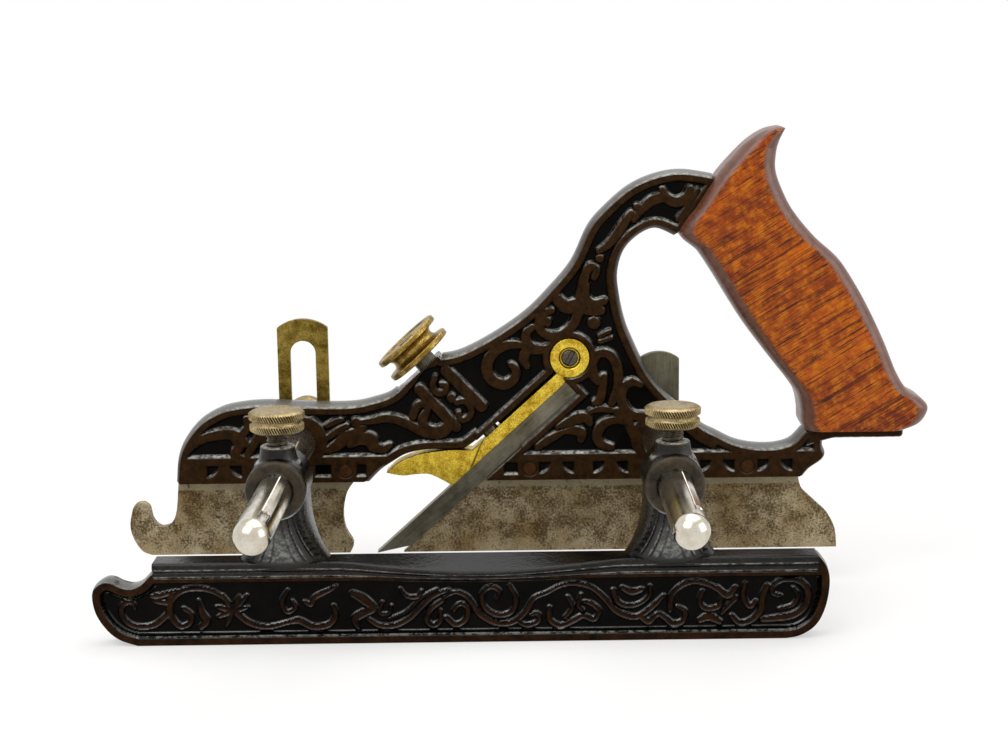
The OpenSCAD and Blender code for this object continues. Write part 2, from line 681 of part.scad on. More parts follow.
// Thumb screw with two knurled flanges and a groove, its tip on the rod
module thumb_screw(x) {
    tip = rod_z + rod_d / 2 + tight_gap + 0.03;
    r = thumb_d / 2;
    h = thumb_h;
    color(pale_brass) translate([x, boss_mid, 0]) {
        translate([0, 0, thumb_z]) rotate_extrude($fn = 64) polygon([[0, 0], [r - 1.2, 0], [r - 0.2, 0.8],
            [r - 0.2, h * 0.36], [r - 0.8, h * 0.44], [r - 1.7, h * 0.5], [r - 0.8, h * 0.57], [r, h * 0.62],
            [r, h - 1], [r - 0.8, h - 0.3], [r - 2, h], [0, h]]);
        translate([0, 0, tip]) cylinder(d = thumb_thread, h = thumb_z - tip + 0.5);
    }
}
module front_fence_screw() { thumb_screw(rod_xs[0]); }
module rear_fence_screw() { thumb_screw(rod_xs[1]); }

// Plate with an arched top and a round-ended slot, standing behind the casting
module slotted_plate(w, len, slot, slot_low, slot_high, rise) {
    difference() {
        union() {
            square([w, len - rise]);
            intersection() {
                translate([w / 2, len - (w * w / 4 + rise * rise) / (2 * rise)])
                    circle(r = (w * w / 4 + rise * rise) / (2 * rise), $fn = 96);
                square([w, len + 1]);
            }
        }
        translate([w / 2, slot_low]) circle(d = slot);
        translate([w / 2, slot_high]) circle(d = slot);
        translate([w / 2 - slot / 2, slot_low]) square([slot, slot_high - slot_low]);
    }
}

plate_face = face + slide_gap;

module depth_stop() {
    low = stop_up;
    color(yellow_brass) {
        translate([stop_x - stop_w / 2, 0, low]) across(plate_face, plate_face + stop_t)
            slotted_plate(stop_w, stop_len, stop_slot, 14, stop_len - 12.5, 3.2);
        // Foot that rides on the work
        translate([stop_x - stop_w / 2 - 6, plate_face + stop_t - 0.2, low]) cube([stop_w + 12, 11, 3]);
    }
}

module side_washer(x, z, shank, t0) {
    color(pale_brass) translate([x, 0, z]) difference() {
        rod_y(side_head_d - 1, t0 + tight_gap, t0 + 1);
        rod_y(shank + 2 * run_gap, t0 - over, t0 + 2);
    }
}
module side_screw(x, z, shank, t0) {
    r = side_head_d / 2;
    head = t0 + 1 + tight_gap;
    color(pale_brass) translate([x, 0, z]) {
        translate([0, head, 0]) rotate([-90, 0, 0]) rotate_extrude($fn = 64) polygon([[0, 0], [r - 0.8, 0],
            [r, 0.8], [r, 2.4], [r - 1, 3], [r, 3.6], [r, 5.6], [r - 1, 6.4], [0, 6.4]]);
        rod_y(shank, plate_face + tight_gap, head + 0.5);
        rod_y(side_thread, side_depth, plate_face + 1);
    }
}

module depth_stop_washer() { side_washer(stop_x, stop_screw_z, stop_shank, plate_face + stop_t); }
module depth_stop_screw() { side_screw(stop_x, stop_screw_z, stop_shank, plate_face + stop_t); }

module slitter() {
    color(bare_steel) difference() {
        translate([slitter_x - slitter_w / 2, 0, slitter_up]) across(plate_face, plate_face + slitter_t)
            slotted_plate(slitter_w, slitter_len, slitter_slot, 12, slitter_len - 18, 2.6);
        // Ground edge at the lower end
        translate([slitter_x - slitter_w, 0, 0]) rotate([90, 0, 90]) linear_extrude(2 * slitter_w)
            polygon([[plate_face + 0.3, slitter_up - over], [plate_face + slitter_t + over, slitter_up - over],
                [plate_face + slitter_t + over, slitter_up + 6], [plate_face + slitter_t, slitter_up + 5]]);
    }
}
module slitter_washer() { side_washer(slitter_x, slitter_screw_z, slitter_shank, plate_face + slitter_t); }
module slitter_screw() { side_screw(slitter_x, slitter_screw_z, slitter_shank, plate_face + slitter_t); }

stock_casting();
front_skate();
rear_skate();
skate_rivets();
handle();
handle_screws();
cutter();
lever();
lever_pivot_screw();
clamp_knob();
clamp_stem();
fence_casting();
front_rod();
rear_rod();
front_fence_screw();
rear_fence_screw();
depth_stop();
depth_stop_washer();
depth_stop_screw();
slitter();
slitter_washer();
slitter_screw();
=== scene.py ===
"""Looks of the plough plane: carved and japanned castings, turned and knurled brass, steel with patina,
nickelled rods and a figured hardwood handle. Shapes are worked out in millimetres and stored in metres."""
import math
from functools import partial, reduce

import bpy
import numpy as np
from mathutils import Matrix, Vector


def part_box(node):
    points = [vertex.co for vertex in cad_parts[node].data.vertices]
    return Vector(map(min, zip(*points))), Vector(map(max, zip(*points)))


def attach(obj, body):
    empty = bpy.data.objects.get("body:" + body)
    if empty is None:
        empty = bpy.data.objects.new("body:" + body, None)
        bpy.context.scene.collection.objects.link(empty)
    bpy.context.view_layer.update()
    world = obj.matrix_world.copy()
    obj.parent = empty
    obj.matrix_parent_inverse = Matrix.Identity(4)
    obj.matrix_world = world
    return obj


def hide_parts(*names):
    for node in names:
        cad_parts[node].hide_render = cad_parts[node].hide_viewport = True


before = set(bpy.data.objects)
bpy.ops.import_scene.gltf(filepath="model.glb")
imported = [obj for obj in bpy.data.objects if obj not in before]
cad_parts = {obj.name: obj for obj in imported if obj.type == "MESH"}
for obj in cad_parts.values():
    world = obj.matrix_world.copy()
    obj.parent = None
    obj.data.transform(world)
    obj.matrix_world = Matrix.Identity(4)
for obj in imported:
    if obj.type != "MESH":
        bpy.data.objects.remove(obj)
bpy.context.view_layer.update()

MM = 0.001
TURN = 2 * math.pi


def node_box(node):
    """Lowest and highest corner of a CAD node at rest, in millimetres."""
    low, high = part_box(node)
    return np.array(low) / MM, np.array(high) / MM


# Sizes of the stock, in millimetres
BED = math.radians(42)
CUTTER_T = 6.4
EDGE_X = -CUTTER_T / math.sin(BED)
SKATE_H = 27.3
DRAWN_BASE = 26.0
FACE = float(node_box("skate_rivets")[1][1])
CROWN = 1.6
RIM_W = 1.9
PANEL_DEPTH = 2.2
BAND_TOP = 35.3
SLOT_TOP = 6.6
SLOT_BACK = 2.5
SLOT_OPEN_TO = 64.6
POCKET_END = 93.5
PIVOT_U, PIVOT_W = 99.6, 6.0
HUB_R = 7.1
CLAMP_U, BOSS_TOP, BOSS_W = 60.6, 38.2, 10.6
KNOB_R, KNOB_H, KNOB_LOW = 12.8, 8.6, 41.6
SLOT_LEAN = 62
TANG_TOP = SKATE_H + 43.2 - DRAWN_BASE
TANG_T, TANG_W = 3.4, 13.0
TANG_X0, TANG_X1 = EDGE_X + 154, EDGE_X + 189
RIVETS, RIVET_R = (EDGE_X - 10.2, EDGE_X + 55.5, EDGE_X + 133), 2.5
WOOD_SCREW_XS = (EDGE_X + 165.5, EDGE_X + 181)

# Sizes of rods, fence and thumb screws
ROD_Z = 42.1
ROD_R = 5.55
ROD_XS = (EDGE_X - 26, EDGE_X + 101)
FENCE_FACE = -56.25
FENCE_FRONT = -66.25
FENCE_TOP = 15.0
FENCE_LOW = -13.0
BOSS_FRONT = -79.25
BOSS_R = 9.7
NECK_TOP = ROD_Z + ROD_R + 7.2
THUMB_Z = NECK_TOP + 4.4
THUMB_R, THUMB_H, THREAD_R, PITCH = 9.0, 7.2, 3.5, 1.27
KNURLS, KNURL_DEPTH, KNURL_LEAN = 64, 0.45, 0.62
SCREW_Y = FENCE_FACE + (BOSS_FRONT - FENCE_FACE) * 0.52
LEDGE_X0, LEDGE_X1, LEDGE_FOOT = EDGE_X - 69, EDGE_X + 149, 8.6
DIP_X, DIP_REACH = (ROD_XS[0] + ROD_XS[1]) / 2 + 1, 47

# Grid spacing of the carved sheets
CELL = 0.34


def place(p):
    """A point drawn from the cutting edge, with the casting's underside at 26, at its real X and Z."""
    return np.array([EDGE_X + p[0], SKATE_H + p[1] - DRAWN_BASE])


def to_bed(x, z):
    """Distance along the bed from its foot, and height above it, of the places x, z."""
    dx = x - EDGE_X
    return dx * math.cos(BED) + z * math.sin(BED), z * math.cos(BED) - dx * math.sin(BED)


def smooth(points, steps):
    """Catmull-Rom curve through the points: steps places on each stretch, and the last point."""
    p = np.asarray(points, float)
    ring = np.vstack([p[:1], p, p[-1:]])
    t = (np.arange(steps) / steps)[None, :, None]
    a, b, c, d = (ring[k:len(p) - 1 + k, None, :] for k in range(4))
    bend, twist = 2 * a - 5 * b + 4 * c - d, 3 * b - a - 3 * c + d
    curve = 0.5 * (2 * b + (c - a) * t + bend * t ** 2 + twist * t ** 3)
    return np.vstack([curve.reshape(-1, p.shape[1]), p[-1:]])


def step_up(value, low, high):
    """Rises smoothly from 0 at low to 1 at high."""
    t = np.clip((value - low) / (high - low), 0, 1)
    return t * t * (3 - 2 * t)


# Outlines in the plane of the stock
NOSE_AND_TOP = [(-69.9, 26), (-68.9, 34.7), (-66.3, 41), (-61.1, 47.3), (-54.6, 51.2), (-48.2, 52.9),
    (-38, 53.7), (-22.4, 52.9), (-7.6, 52.8), (1.3, 54.5), (7.3, 56.7), (12, 61), (16.3, 66.8),
    (20.5, 69.2), (31, 70.9), (43.1, 76.8), (55.1, 84.9), (64.1, 93.7), (72.1, 103.3), (77.9, 115.4),
    (83.7, 122.1), (92, 129), (101, 132.8), (110, 133.9), (121.5, 132)]
GRIP_HOLE = [(108.4, 113.4), (100.8, 116.6), (94.2, 114.4), (88.2, 108.5), (85.6, 100), (86.2, 91.5),
    (88, 83), (90.6, 76), (96.6, 63.6), (104, 54.7), (115.5, 44.2), (121.4, 40.9), (127.4, 37.8),
    (133.1, 36.2), (139.2, 35.6), (144.9, 36), (149.9, 37.8), (153.9, 42)]
BAR_END = [(158.9, 43), (158.7, 36.6), (159.5, 33), (154.4, 29.1), (151.9, 26)]
THROAT = [(37.5, 42.6), (33.8, 39.8), (30.6, 38.4), (18.8, 38.2), (11, 36.7), (5.6, 33.7), (1.2, 30.7),
    (-3.5, 26)]
ARCH_FOOT, ARCH_TIP = place((107.9, 113.6)), place((120.6, 132.7))


def distance_to_outline(points, x, z):
    """Distance to a closed polygon, positive inside: the least distance to its edges, with the sign of the
    number of edges that a ray to the right crosses."""
    far = np.full(x.shape, 1e9)
    odd = np.zeros(x.shape, bool)
    for (ax, az), (bx, bz) in zip(points, np.roll(points, -1, axis=0)):
        ex, ez = bx - ax, bz - az
        t = np.clip(((x - ax) * ex + (z - az) * ez) / max(ex * ex + ez * ez, 1e-12), 0, 1)
        far = np.minimum(far, (x - ax - t * ex) ** 2 + (z - az - t * ez) ** 2)
        if az != bz:
            odd ^= ((az > z) != (bz > z)) & (x < ax + (z - az) * ex / ez)
    return np.sqrt(far) * np.where(odd, 1, -1)


def least(*fields):
    """The least of several fields at each place. Of distances, it is the distance inside all of them."""
    return reduce(np.minimum, fields)


def box_distance(u, w, u0, u1, w0, w1):
    """Distance to a rectangle in its own two coordinates, positive inside."""
    return least(u - u0, u1 - u, w - w0, w1 - w)


def stroke_height(strokes, xs, zs, at, grow=0.0):
    """Depth inside a family of carved strokes. Each stroke is a smooth curve of discs, given as x, z and
    radius, and a place's depth is the largest of radius less distance to the disc's centre. grow is added to
    each radius."""
    depth = np.full((len(xs), len(zs)), -9.0)
    for stroke in strokes:
        longest = np.linalg.norm(np.diff(np.array(stroke)[:, :2], axis=0), axis=1).max(initial=0)
        curve = smooth(stroke, max(2, math.ceil(longest / 0.4)))
        for cx, cz, r in curve:
            cx, cz = at((cx, cz))
            r = r + grow
            i0, i1 = np.searchsorted(xs, (cx - r - 1.5, cx + r + 1.5))
            j0, j1 = np.searchsorted(zs, (cz - r - 1.5, cz + r + 1.5))
            here = r - np.hypot(xs[i0:i1, None] - cx, zs[None, j0:j1] - cz)
            depth[i0:i1, j0:j1] = np.maximum(depth[i0:i1, j0:j1], here)
    return depth


def to_mesh(name, points, faces, smooth_angle=40, **attributes):
    """Object with these points in millimetres and a list of face arrays, with per-point attributes. Edges
    sharper than smooth_angle stay sharp."""
    mesh = bpy.data.meshes.new(name)
    mesh.from_pydata((np.asarray(points) * MM).tolist(), [], [f for block in faces for f in block.tolist()])
    mesh.polygons.foreach_set("use_smooth", np.ones(len(mesh.polygons), bool))
    mesh.set_sharp_from_angle(angle=math.radians(smooth_angle))
    mesh.update()
    normals = np.empty(len(mesh.vertices) * 3, np.float32)
    mesh.vertex_normals.foreach_get("vector", normals)
    # How far each point faces up, which the japanned materials use for painted highlights and more gloss
    attributes["up"] = np.clip(normals[2::3], 0, 1)
    piece = bpy.data.objects.new(name, mesh)
    mark(piece, **attributes)
    bpy.context.scene.collection.objects.link(piece)
    return piece


def grid_faces(rows, columns, wrap_rows=False, wrap_columns=False):
    """Quads of a grid of points, each from its own corner to the next row and column."""
    i, j = np.arange(rows if wrap_rows else rows - 1), np.arange(columns if wrap_columns else columns - 1)
    a, b = np.meshgrid(i, j, indexing="ij")
    a2, b2 = (a + 1) % rows, (b + 1) % columns
    corners = [a * columns + b, a * columns + b2, a2 * columns + b2, a2 * columns + b]
    return np.stack(corners, -1).reshape(-1, 4)


def end_faces(rows, columns):
    """Faces that close a loft at its first and its last row."""
    ring = np.arange(columns)[None, :]
    return [ring, ring[:, ::-1] + (rows - 1) * columns]


def squared(v, power):
    """Sine or cosine drawn out towards 1, which squares off a round section."""
    return np.sign(v) * np.abs(v) ** power


def square_cases():
    """How a marching square's corners, 0 to 3, and cut edges, 4 to 7, follow each other anticlockwise in
    each of its 16 cases, and which pairs of cut edges a wall stands on."""
    cases = []
    for code in range(16):
        inside = [bool(code >> k & 1) for k in range(4)]
        loop, cuts = [], []
        for k in range(4):
            if inside[k]:
                loop.append(k)
            if inside[k] != inside[(k + 1) % 4]:
                loop.append(4 + k)
        for n, item in enumerate(loop):
            after = loop[(n + 1) % len(loop)]
            if item > 3 and after > 3 and inside[item - 4]:
                cuts.append((item, after))
        cases.append((loop, cuts))
    return cases


def cut_sheet(field, xs, zs):
    """Flat sheet over the part of a grid where field is positive, cut by marching squares, so that its edge
    runs through the places where field is zero. Gives its points, its faces anticlockwise with x to the
    right and z up, the number of grid points, and the pairs of edge points that a wall stands on."""
    inside = field > 0
    ids = np.full(field.shape, -1)
    ids[inside] = np.arange(inside.sum())
    x, z = np.meshgrid(xs, zs, indexing="ij")
    points = [np.stack([x[inside], z[inside]], 1)]
    count = len(points[0])
    edges = []
    for axis in (0, 1):
        a = [slice(None), slice(None)]
        b = [slice(None), slice(None)]
        a[axis], b[axis] = slice(0, -1), slice(1, None)
        a, b = tuple(a), tuple(b)
        cut = inside[a] != inside[b]
        t = np.clip(field[a][cut] / (field[a][cut] - field[b][cut]), 0.04, 0.96)
        points.append(np.stack([x[a][cut] + t * (x[b] - x[a])[cut], z[a][cut] + t * (z[b] - z[a])[cut]], 1))
        number = np.full(cut.shape, -1)
        number[cut] = count + np.arange(cut.sum())
        count += int(cut.sum())
        edges.append(number)
    along_x, along_z = edges
    corners = [ids[:-1, :-1], ids[1:, :-1], ids[1:, 1:], ids[:-1, 1:],
        along_x[:, :-1], along_z[1:, :], along_x[:, 1:], along_z[:-1, :]]
    code = sum((corners[k] >= 0).astype(int) << k for k in range(4))
    faces, walls = [], []
    for case, (loop, cuts) in enumerate(square_cases()):
        here = code == case
        if loop and here.any():
            faces.append(np.stack([corners[k][here] for k in loop], 1))
            walls += [np.stack([corners[a][here], corners[b][here]], 1) for a, b in cuts]
    return np.vstack(points), faces, len(points[0]), np.vstack(walls)


def sample(values, xs, zs, points):
    """Values of a grid at any points, blended from the four grid places round each."""
    fx = np.clip((points[:, 0] - xs[0]) / (xs[1] - xs[0]), 0, len(xs) - 1.001)
    fz = np.clip((points[:, 1] - zs[0]) / (zs[1] - zs[0]), 0, len(zs) - 1.001)
    i, j = fx.astype(int), fz.astype(int)
    s, t = fx - i, fz - j
    return ((values[i, j] * (1 - s) + values[i + 1, j] * s) * (1 - t)
        + (values[i, j + 1] * (1 - s) + values[i + 1, j + 1] * s) * t)


def carved_half(name, field, xs, zs, depth, wear, face, middle, swell, side, rings=7):
    """Half of a flat casting: a sheet at face, sunk by depth towards the middle, and a wall from its edge to
    middle, which swells outwards by a parabola where swell says. side is -1 in front and 1 behind. wear is
    kept as an attribute, and the wall takes it from the edge. The attribute wall rises from 0 at the edge
    to 1 on the wall."""
    flat, faces, inner, walls = cut_sheet(field, xs, zs)
    gx, gz = np.gradient(field, xs, zs)
    edge = flat[inner:]
    out = -np.stack([sample(gx, xs, zs, edge), sample(gz, xs, zs, edge)], 1)
    out /= np.maximum(np.linalg.norm(out, axis=1, keepdims=True), 1e-6)
    sunk = sample(depth, xs, zs, flat)
    sunk[inner:] = np.minimum(sunk[inner:], 0.05)
    points = [np.column_stack([flat[:, 0], side * face - side * sunk, flat[:, 1]])]
    grow = sample(swell, xs, zs, edge)
    goal = np.full(len(edge), float(middle)) if np.isscalar(middle) else sample(middle, xs, zs, edge)
    wear_and_edge_shade = [sample(wear, xs, zs, flat)]
    ridge = [np.zeros(len(flat))]
    for k in range(1, rings + 1):
        t = k / rings
        spread = out * (grow * (1 - (1 - t) ** 2))[:, None]
        y = side * face * (1 - t) + goal * t
        points.append(np.column_stack([edge[:, 0] + spread[:, 0], y, edge[:, 1] + spread[:, 1]]))
        wear_and_edge_shade.append(wear_and_edge_shade[0][inner:] * (1 - t) * 0.6)
        ridge.append(np.full(len(edge), min(1, 4 * t)))
    quads = []
    for k in range(rings):
        near = walls if k == 0 else walls + len(edge) * k
        far = walls + len(edge) * (k + 1)
        quads.append(np.stack([near[:, 1], near[:, 0], far[:, 0], far[:, 1]], 1))
    if side > 0:
        faces = [f[:, ::-1] for f in faces]
        quads = [q[:, ::-1] for q in quads]
    return to_mesh(name, np.vstack(points), faces + quads, 50, wear=np.concatenate(wear_and_edge_shade),
        wall=np.concatenate(ridge))


# Carving of the stock, from nose to arch: strokes of x, z and half width, drawn from the cutting edge
LEAVES_OF_NOSE = [
    [(-66, 38.6, 0.9), (-62.5, 41.5, 1.3), (-58, 43.2, 1.5), (-52, 44, 1.8), (-48, 43, 1.6),
        (-45.5, 40.5, 1.2)],
    [(-50, 43.5, 1.5), (-47.8, 40, 1.6), (-49.5, 36.5, 1.5), (-47, 35, 1)],
    [(-46.5, 44, 1.2), (-44.5, 46.5, 1.2), (-45, 49.4, 1)],
    [(-45, 36.4, 1), (-42.5, 40.5, 1.3), (-40, 44, 1.2)],
    [(-38, 38, 1.2), (-39, 42.5, 1.3), (-36, 46.5, 1.3), (-31.5, 46.5, 1.3), (-29.5, 43, 1.2),
        (-32, 40.5, 1.2), (-34.5, 42.5, 1.1)],
    [(-25, 48.8, 1), (-21.5, 47.8, 1.2), (-18.8, 44.5, 1.4), (-18.4, 40, 1.5), (-20, 36.4, 1.4)],
    [(-27, 44, 1.2), (-23.5, 42, 1.3), (-24, 38, 1.2)],
]
LONG_LEAF = [
    [(-16.5, 37.6, 1), (-13, 39.5, 1.8), (-10, 42.3, 1.9), (-7, 43.8, 1.5), (-3.5, 45.6, 1)],
    [(-16.8, 42, 0.8), (-13, 44.4, 1.1), (-9.5, 46.4, 0.9)],
    [(-16.5, 46.5, 0.7), (-13.5, 48, 0.9), (-11, 48.8, 0.6)],
    [(-6, 47.6, 1.7)],
    [(-4, 47.8, 0.8), (0, 48.2, 1.1), (4, 49, 1.3), (8, 48.6, 1.4), (12, 47, 1.5), (16, 44.8, 1.5),
        (20, 43.2, 1.5), (24, 43, 1.4), (26.8, 44.8, 1.1)],
    [(-8.5, 39.6, 1), (-5, 41.6, 2), (-1.3, 41.4, 2.3), (0, 38.8, 1.8), (3.5, 37.9, 1.2), (5.6, 39.2, 0.8)],
    [(14.2, 49.5, 1.2), (15.5, 52.8, 1.1), (17.8, 54.2, 1.1), (19.8, 52.6, 0.9)],
    [(19, 51, 1.2), (17.6, 48, 1.5), (19.4, 45.4, 1.2), (23.2, 44.8, 1), (26.2, 46.4, 1)],
]
CLAMP_RIBS = [
    [(16.8, 59.2, 1.7), (29.4, 45.6, 1.7)],
    [(26.3, 65.8, 1.8), (38.6, 52.8, 1.8)],
    [(22.4, 63.6, 0.7), (21.4, 60.8, 0.9), (22.8, 58, 1), (25.6, 58.2, 0.9), (26.2, 60.6, 0.8),
        (24.5, 61, 0.7)],
    [(28, 56, 1.5)],
    [(29.8, 54.4, 0.9), (32.8, 54.8, 0.9), (34.9, 52, 0.9), (34, 49, 0.9), (31.4, 48, 0.9),
        (30.4, 50.4, 0.8)],
]
SCROLLS_AT_LEVER = [
    [(54.5, 74.3, 0.9), (50, 75, 1.3), (45, 73.6, 1.6), (41.6, 70, 1.7), (40.8, 65.5, 1.8),
        (43, 62, 1.8), (47, 60.7, 1.7), (50.2, 62.6, 1.5), (51, 65.8, 1.2), (49.4, 67.6, 0.9)],
    [(57, 81, 1), (54.8, 79, 1.3), (55, 75.5, 1.6), (57.5, 73.2, 1.7), (62, 73.4, 1.2), (65, 74.5, 1)],
    [(55, 73, 1.7), (53.8, 70, 1.6), (54.8, 67.2, 1)],
    [(63.8, 86.8, 0.9), (61.3, 86, 1.2), (59.3, 83, 1.3), (60.2, 79.6, 1.4), (63.8, 77.8, 1.4),
        (68, 78.8, 1.4), (71.3, 81.8, 1.4), (73, 85.5, 1.5)],
    [(61.9, 82.9, 1.6)],
    [(66, 90.8, 1.7), (69, 88, 2.1), (73, 88.6, 2.3), (77, 87.2, 2), (81, 86.6, 1.4)],
    [(78.6, 82.3, 2)],
    [(80.6, 77.6, 0.6), (84, 79.2, 0.6)],
    [(80.8, 75.6, 0.6), (84.6, 76.8, 0.6)],
]
ARCH_LEAVES = [
    [(74, 90.5, 1.8), (74.6, 94, 1.6), (75.3, 98, 1.4), (77.2, 102.2, 1.2), (79.6, 101, 1.1),
        (78.8, 98.4, 0.9)],
    [(75.8, 95.5, 1.1), (75.8, 91.5, 1.3), (78.5, 89, 1.4), (82.3, 90, 1.1)],
    [(80.8, 105, 1.2)],
    [(80.5, 107.6, 0.8), (84, 110, 1.2), (87, 113.8, 1.4), (89.5, 117.6, 1.3), (91.8, 120.9, 0.8)],
    [(94, 122.9, 1.1)],
    [(92.8, 118.4, 0.8), (95.5, 122, 1.2), (99, 125, 1.6), (103, 126.2, 1.5)],
    [(102.6, 128.8, 0.9), (104, 125.9, 1.5), (107.5, 124.4, 1.6), (111, 125.8, 1.6), (112.2, 128.8, 1.1)],
    [(108.2, 118.4, 0.7), (111.6, 123.4, 0.7), (114.8, 128.4, 0.7)],
]
HEEL_SCROLLS = [
    [(84.8, 53.5, 1.1), (86.6, 58, 1.3), (87.2, 63, 1.4), (86.2, 68, 1.5), (83.5, 71.2, 1.4),
        (80, 71.1, 1.4), (78, 68, 1.4), (78.3, 64, 1.6), (80, 61.5, 1.4)],
    [(82, 63, 1.1), (81.5, 58.5, 1.2), (80.6, 55, 1.4), (78.7, 53.6, 0.9)],
    [(95, 60, 0.9), (92, 61, 1.2), (89, 59, 1.4), (88.2, 55, 1.5), (89.8, 51, 1.5), (93, 48.8, 1.4),
        (96.5, 49, 1.1)],
    [(86.5, 50.5, 1.3), (90, 48, 1.6), (91.6, 44, 1.4), (93.6, 39.5, 1.3)],
    [(89.5, 46.8, 0.9), (85.5, 47.3, 1.2), (81.5, 45.6, 1.5), (79.6, 41.8, 1.6), (81, 38.7, 1.4),
        (84.5, 37.4, 1.1)],
    [(77, 50.4, 0.7), (80.5, 51.4, 1), (84.5, 51, 0.9)],
    [(65.5, 45, 0.7), (69, 46.6, 1.4), (72.5, 48, 1.8), (75.8, 48.2, 1.5), (77, 46, 0.8)],
    [(68, 43.4, 0.7), (71.5, 43.8, 1.5), (74, 42.8, 1.5), (73.8, 40.3, 1)],
    [(58.5, 38, 1.1), (61.5, 40, 1.3), (65, 42, 1.2), (67.5, 43.4, 0.7)],
    [(112, 43.6, 0.9), (116, 40.4, 1), (121, 37.6, 0.8)],
    [(100, 47.5, 1), (104, 45, 1.3), (103, 41, 1.2), (99.5, 40, 1)],
]
CARVING = LEAVES_OF_NOSE + LONG_LEAF + CLAMP_RIBS + SCROLLS_AT_LEVER + ARCH_LEAVES + HEEL_SCROLLS
BELLS = (-53.5, 65, 84.3, 122.3, 142.8)
BELL_REACH, BELL_R, DENTIL_TOP = 6.5, 4.7, 32.7


def dentil_depth(x, z):
    """Depth inside the sunk quarter discs of the band, which leave a bell between each pair."""
    depth = np.full(x.shape, -9.0)
    top = SKATE_H + DENTIL_TOP - DRAWN_BASE
    for bell in BELLS:
        for side in (-1, 1):
            cx = EDGE_X + bell + side * BELL_REACH
            disc = BELL_R - np.hypot(x - cx, z - top)
            depth = np.maximum(depth, least(disc, top - z, side * (cx - x)))
    for low, high in ((-21.4, -15), (-6.6, -2.6), (46, 51.6)):
        depth = np.maximum(depth, box_distance(x - EDGE_X, z, low, high, SKATE_H + 1.9, top))
    return depth


def stock_fields():
    """The stock's grid, its outline's distance field, and what the carving needs of it."""
    xs = np.arange(EDGE_X - 73, EDGE_X + 164, CELL)
    zs = np.arange(SKATE_H - 2, SKATE_H + 112, CELL)
    x, z = np.meshgrid(xs, zs, indexing="ij")
    parts = (smooth(NOSE_AND_TOP, 5), smooth(GRIP_HOLE, 5), smooth(BAR_END, 5), [(38, 26)], smooth(THROAT, 5))
    outline = np.array([place(p) for part in parts for p in part])
    body = distance_to_outline(outline, x, z)
    turn = (ARCH_TIP - ARCH_FOOT) / np.linalg.norm(ARCH_TIP - ARCH_FOOT)
    beyond_arch = (x - ARCH_FOOT[0]) * turn[1] - (z - ARCH_FOOT[1]) * turn[0]
    arch_end = np.where(z > ARCH_FOOT[1] - 4, -beyond_arch, 9)
    seat = np.where(x > EDGE_X + 153, TANG_TOP - z, 9)
    u, w = to_bed(x, z)
    boss = box_distance(u, w, CLAMP_U - BOSS_W / 2, CLAMP_U + BOSS_W / 2, 0, BOSS_TOP)
    flat = -box_distance(u, w, CLAMP_U - KNOB_R - 1, CLAMP_U + KNOB_R + 1, BOSS_TOP, 99)
    cuts = least(z - SKATE_H, arch_end, seat, flat)
    slot = -box_distance(u, w, -99, SLOT_OPEN_TO, -CUTTER_T, SLOT_TOP)
    hub = np.hypot(u - PIVOT_U, w - PIVOT_W) - HUB_R - 0.45
    pocket = np.minimum(-box_distance(u, w, -99, POCKET_END, -CUTTER_T, SLOT_TOP), hub)
    return xs, zs, x, z, body, np.maximum(body, boss), cuts, slot, pocket


def stock_relief(x, z, xs, zs, room, floor_room):
    """How deep the stock's faces are sunk: the panels with their strokes left standing, the band's bells,
    and how much each place is worn."""
    bosses = np.min([np.hypot(x - rx, z - ROD_Z) for rx in ROD_XS], axis=0) - ROD_R - 3.5
    inside = least(room - RIM_W, floor_room, bosses, z - (SKATE_H + BAND_TOP - DRAWN_BASE))
    strokes = stroke_height(CARVING, xs, zs, place, 0.25)
    ground = step_up(inside, 0, 0.8) * (1 - step_up(strokes, -0.5, 0.3))
    hollow = step_up(dentil_depth(x, z), 0, 0.7)
    groove = np.exp(-((room - 0.5) / 0.25) ** 2) * 0.12
    line = 0.3 * np.exp(-((strokes - 0.75) / 0.22) ** 2) * (strokes < 1.6) * step_up(inside, 0.6, 1.2)
    from_rivet = np.min([np.hypot(x - rx, z - SKATE_H - 4) for rx in RIVETS], axis=0) - RIVET_R
    rivets = 0.3 * np.exp(-(from_rivet / 0.3) ** 2) + 0.1 * (from_rivet < 0)
    depth = PANEL_DEPTH * ground + 0.3 * line + 1.5 * hollow + groove + rivets
    wear = (1 - ground) * (1 - hollow)
    return depth, wear


def make_stock():
    """The casting's carved front and back halves, each the sheet where its distance field is positive, and
    the flat floor of the pocket behind cutter and lever."""
    xs, zs, x, z, body, room, cuts, slot, pocket = stock_fields()
    crowned = CROWN * step_up(body - room, -0.3, -0.05) * step_up(cuts, 0.05, 0.3) * step_up(slot, 0.3, 0.8)
    front = least(room, cuts, pocket)
    depth, wear = stock_relief(x, z, xs, zs, room, np.minimum(pocket, slot) - 1.6)
    to_floor = np.where(pocket < 0.6, SLOT_BACK, 0.0)
    pieces = [carved_half("casting_front", front, xs, zs, depth, wear, FACE, to_floor, crowned, -1)]
    back = least(room, cuts, slot)
    depth, wear = stock_relief(x, z, xs, zs, room, slot - 1.6)
    to_floor = np.where(slot < 0.6, SLOT_BACK, 0.0)
    pieces.append(carved_half("casting_back", back, xs, zs, depth, wear, FACE, to_floor, crowned, 1))
    flat, faces = cut_sheet(least(0.3 - pocket, slot + 0.3, room), xs, zs)[:2]
    level = np.column_stack([flat[:, 0], np.full(len(flat), SLOT_BACK), flat[:, 1]])
    pieces.append(to_mesh("pocket_floor", level, faces, wear=np.zeros(len(flat)), wall=np.zeros(len(flat))))
    return pieces


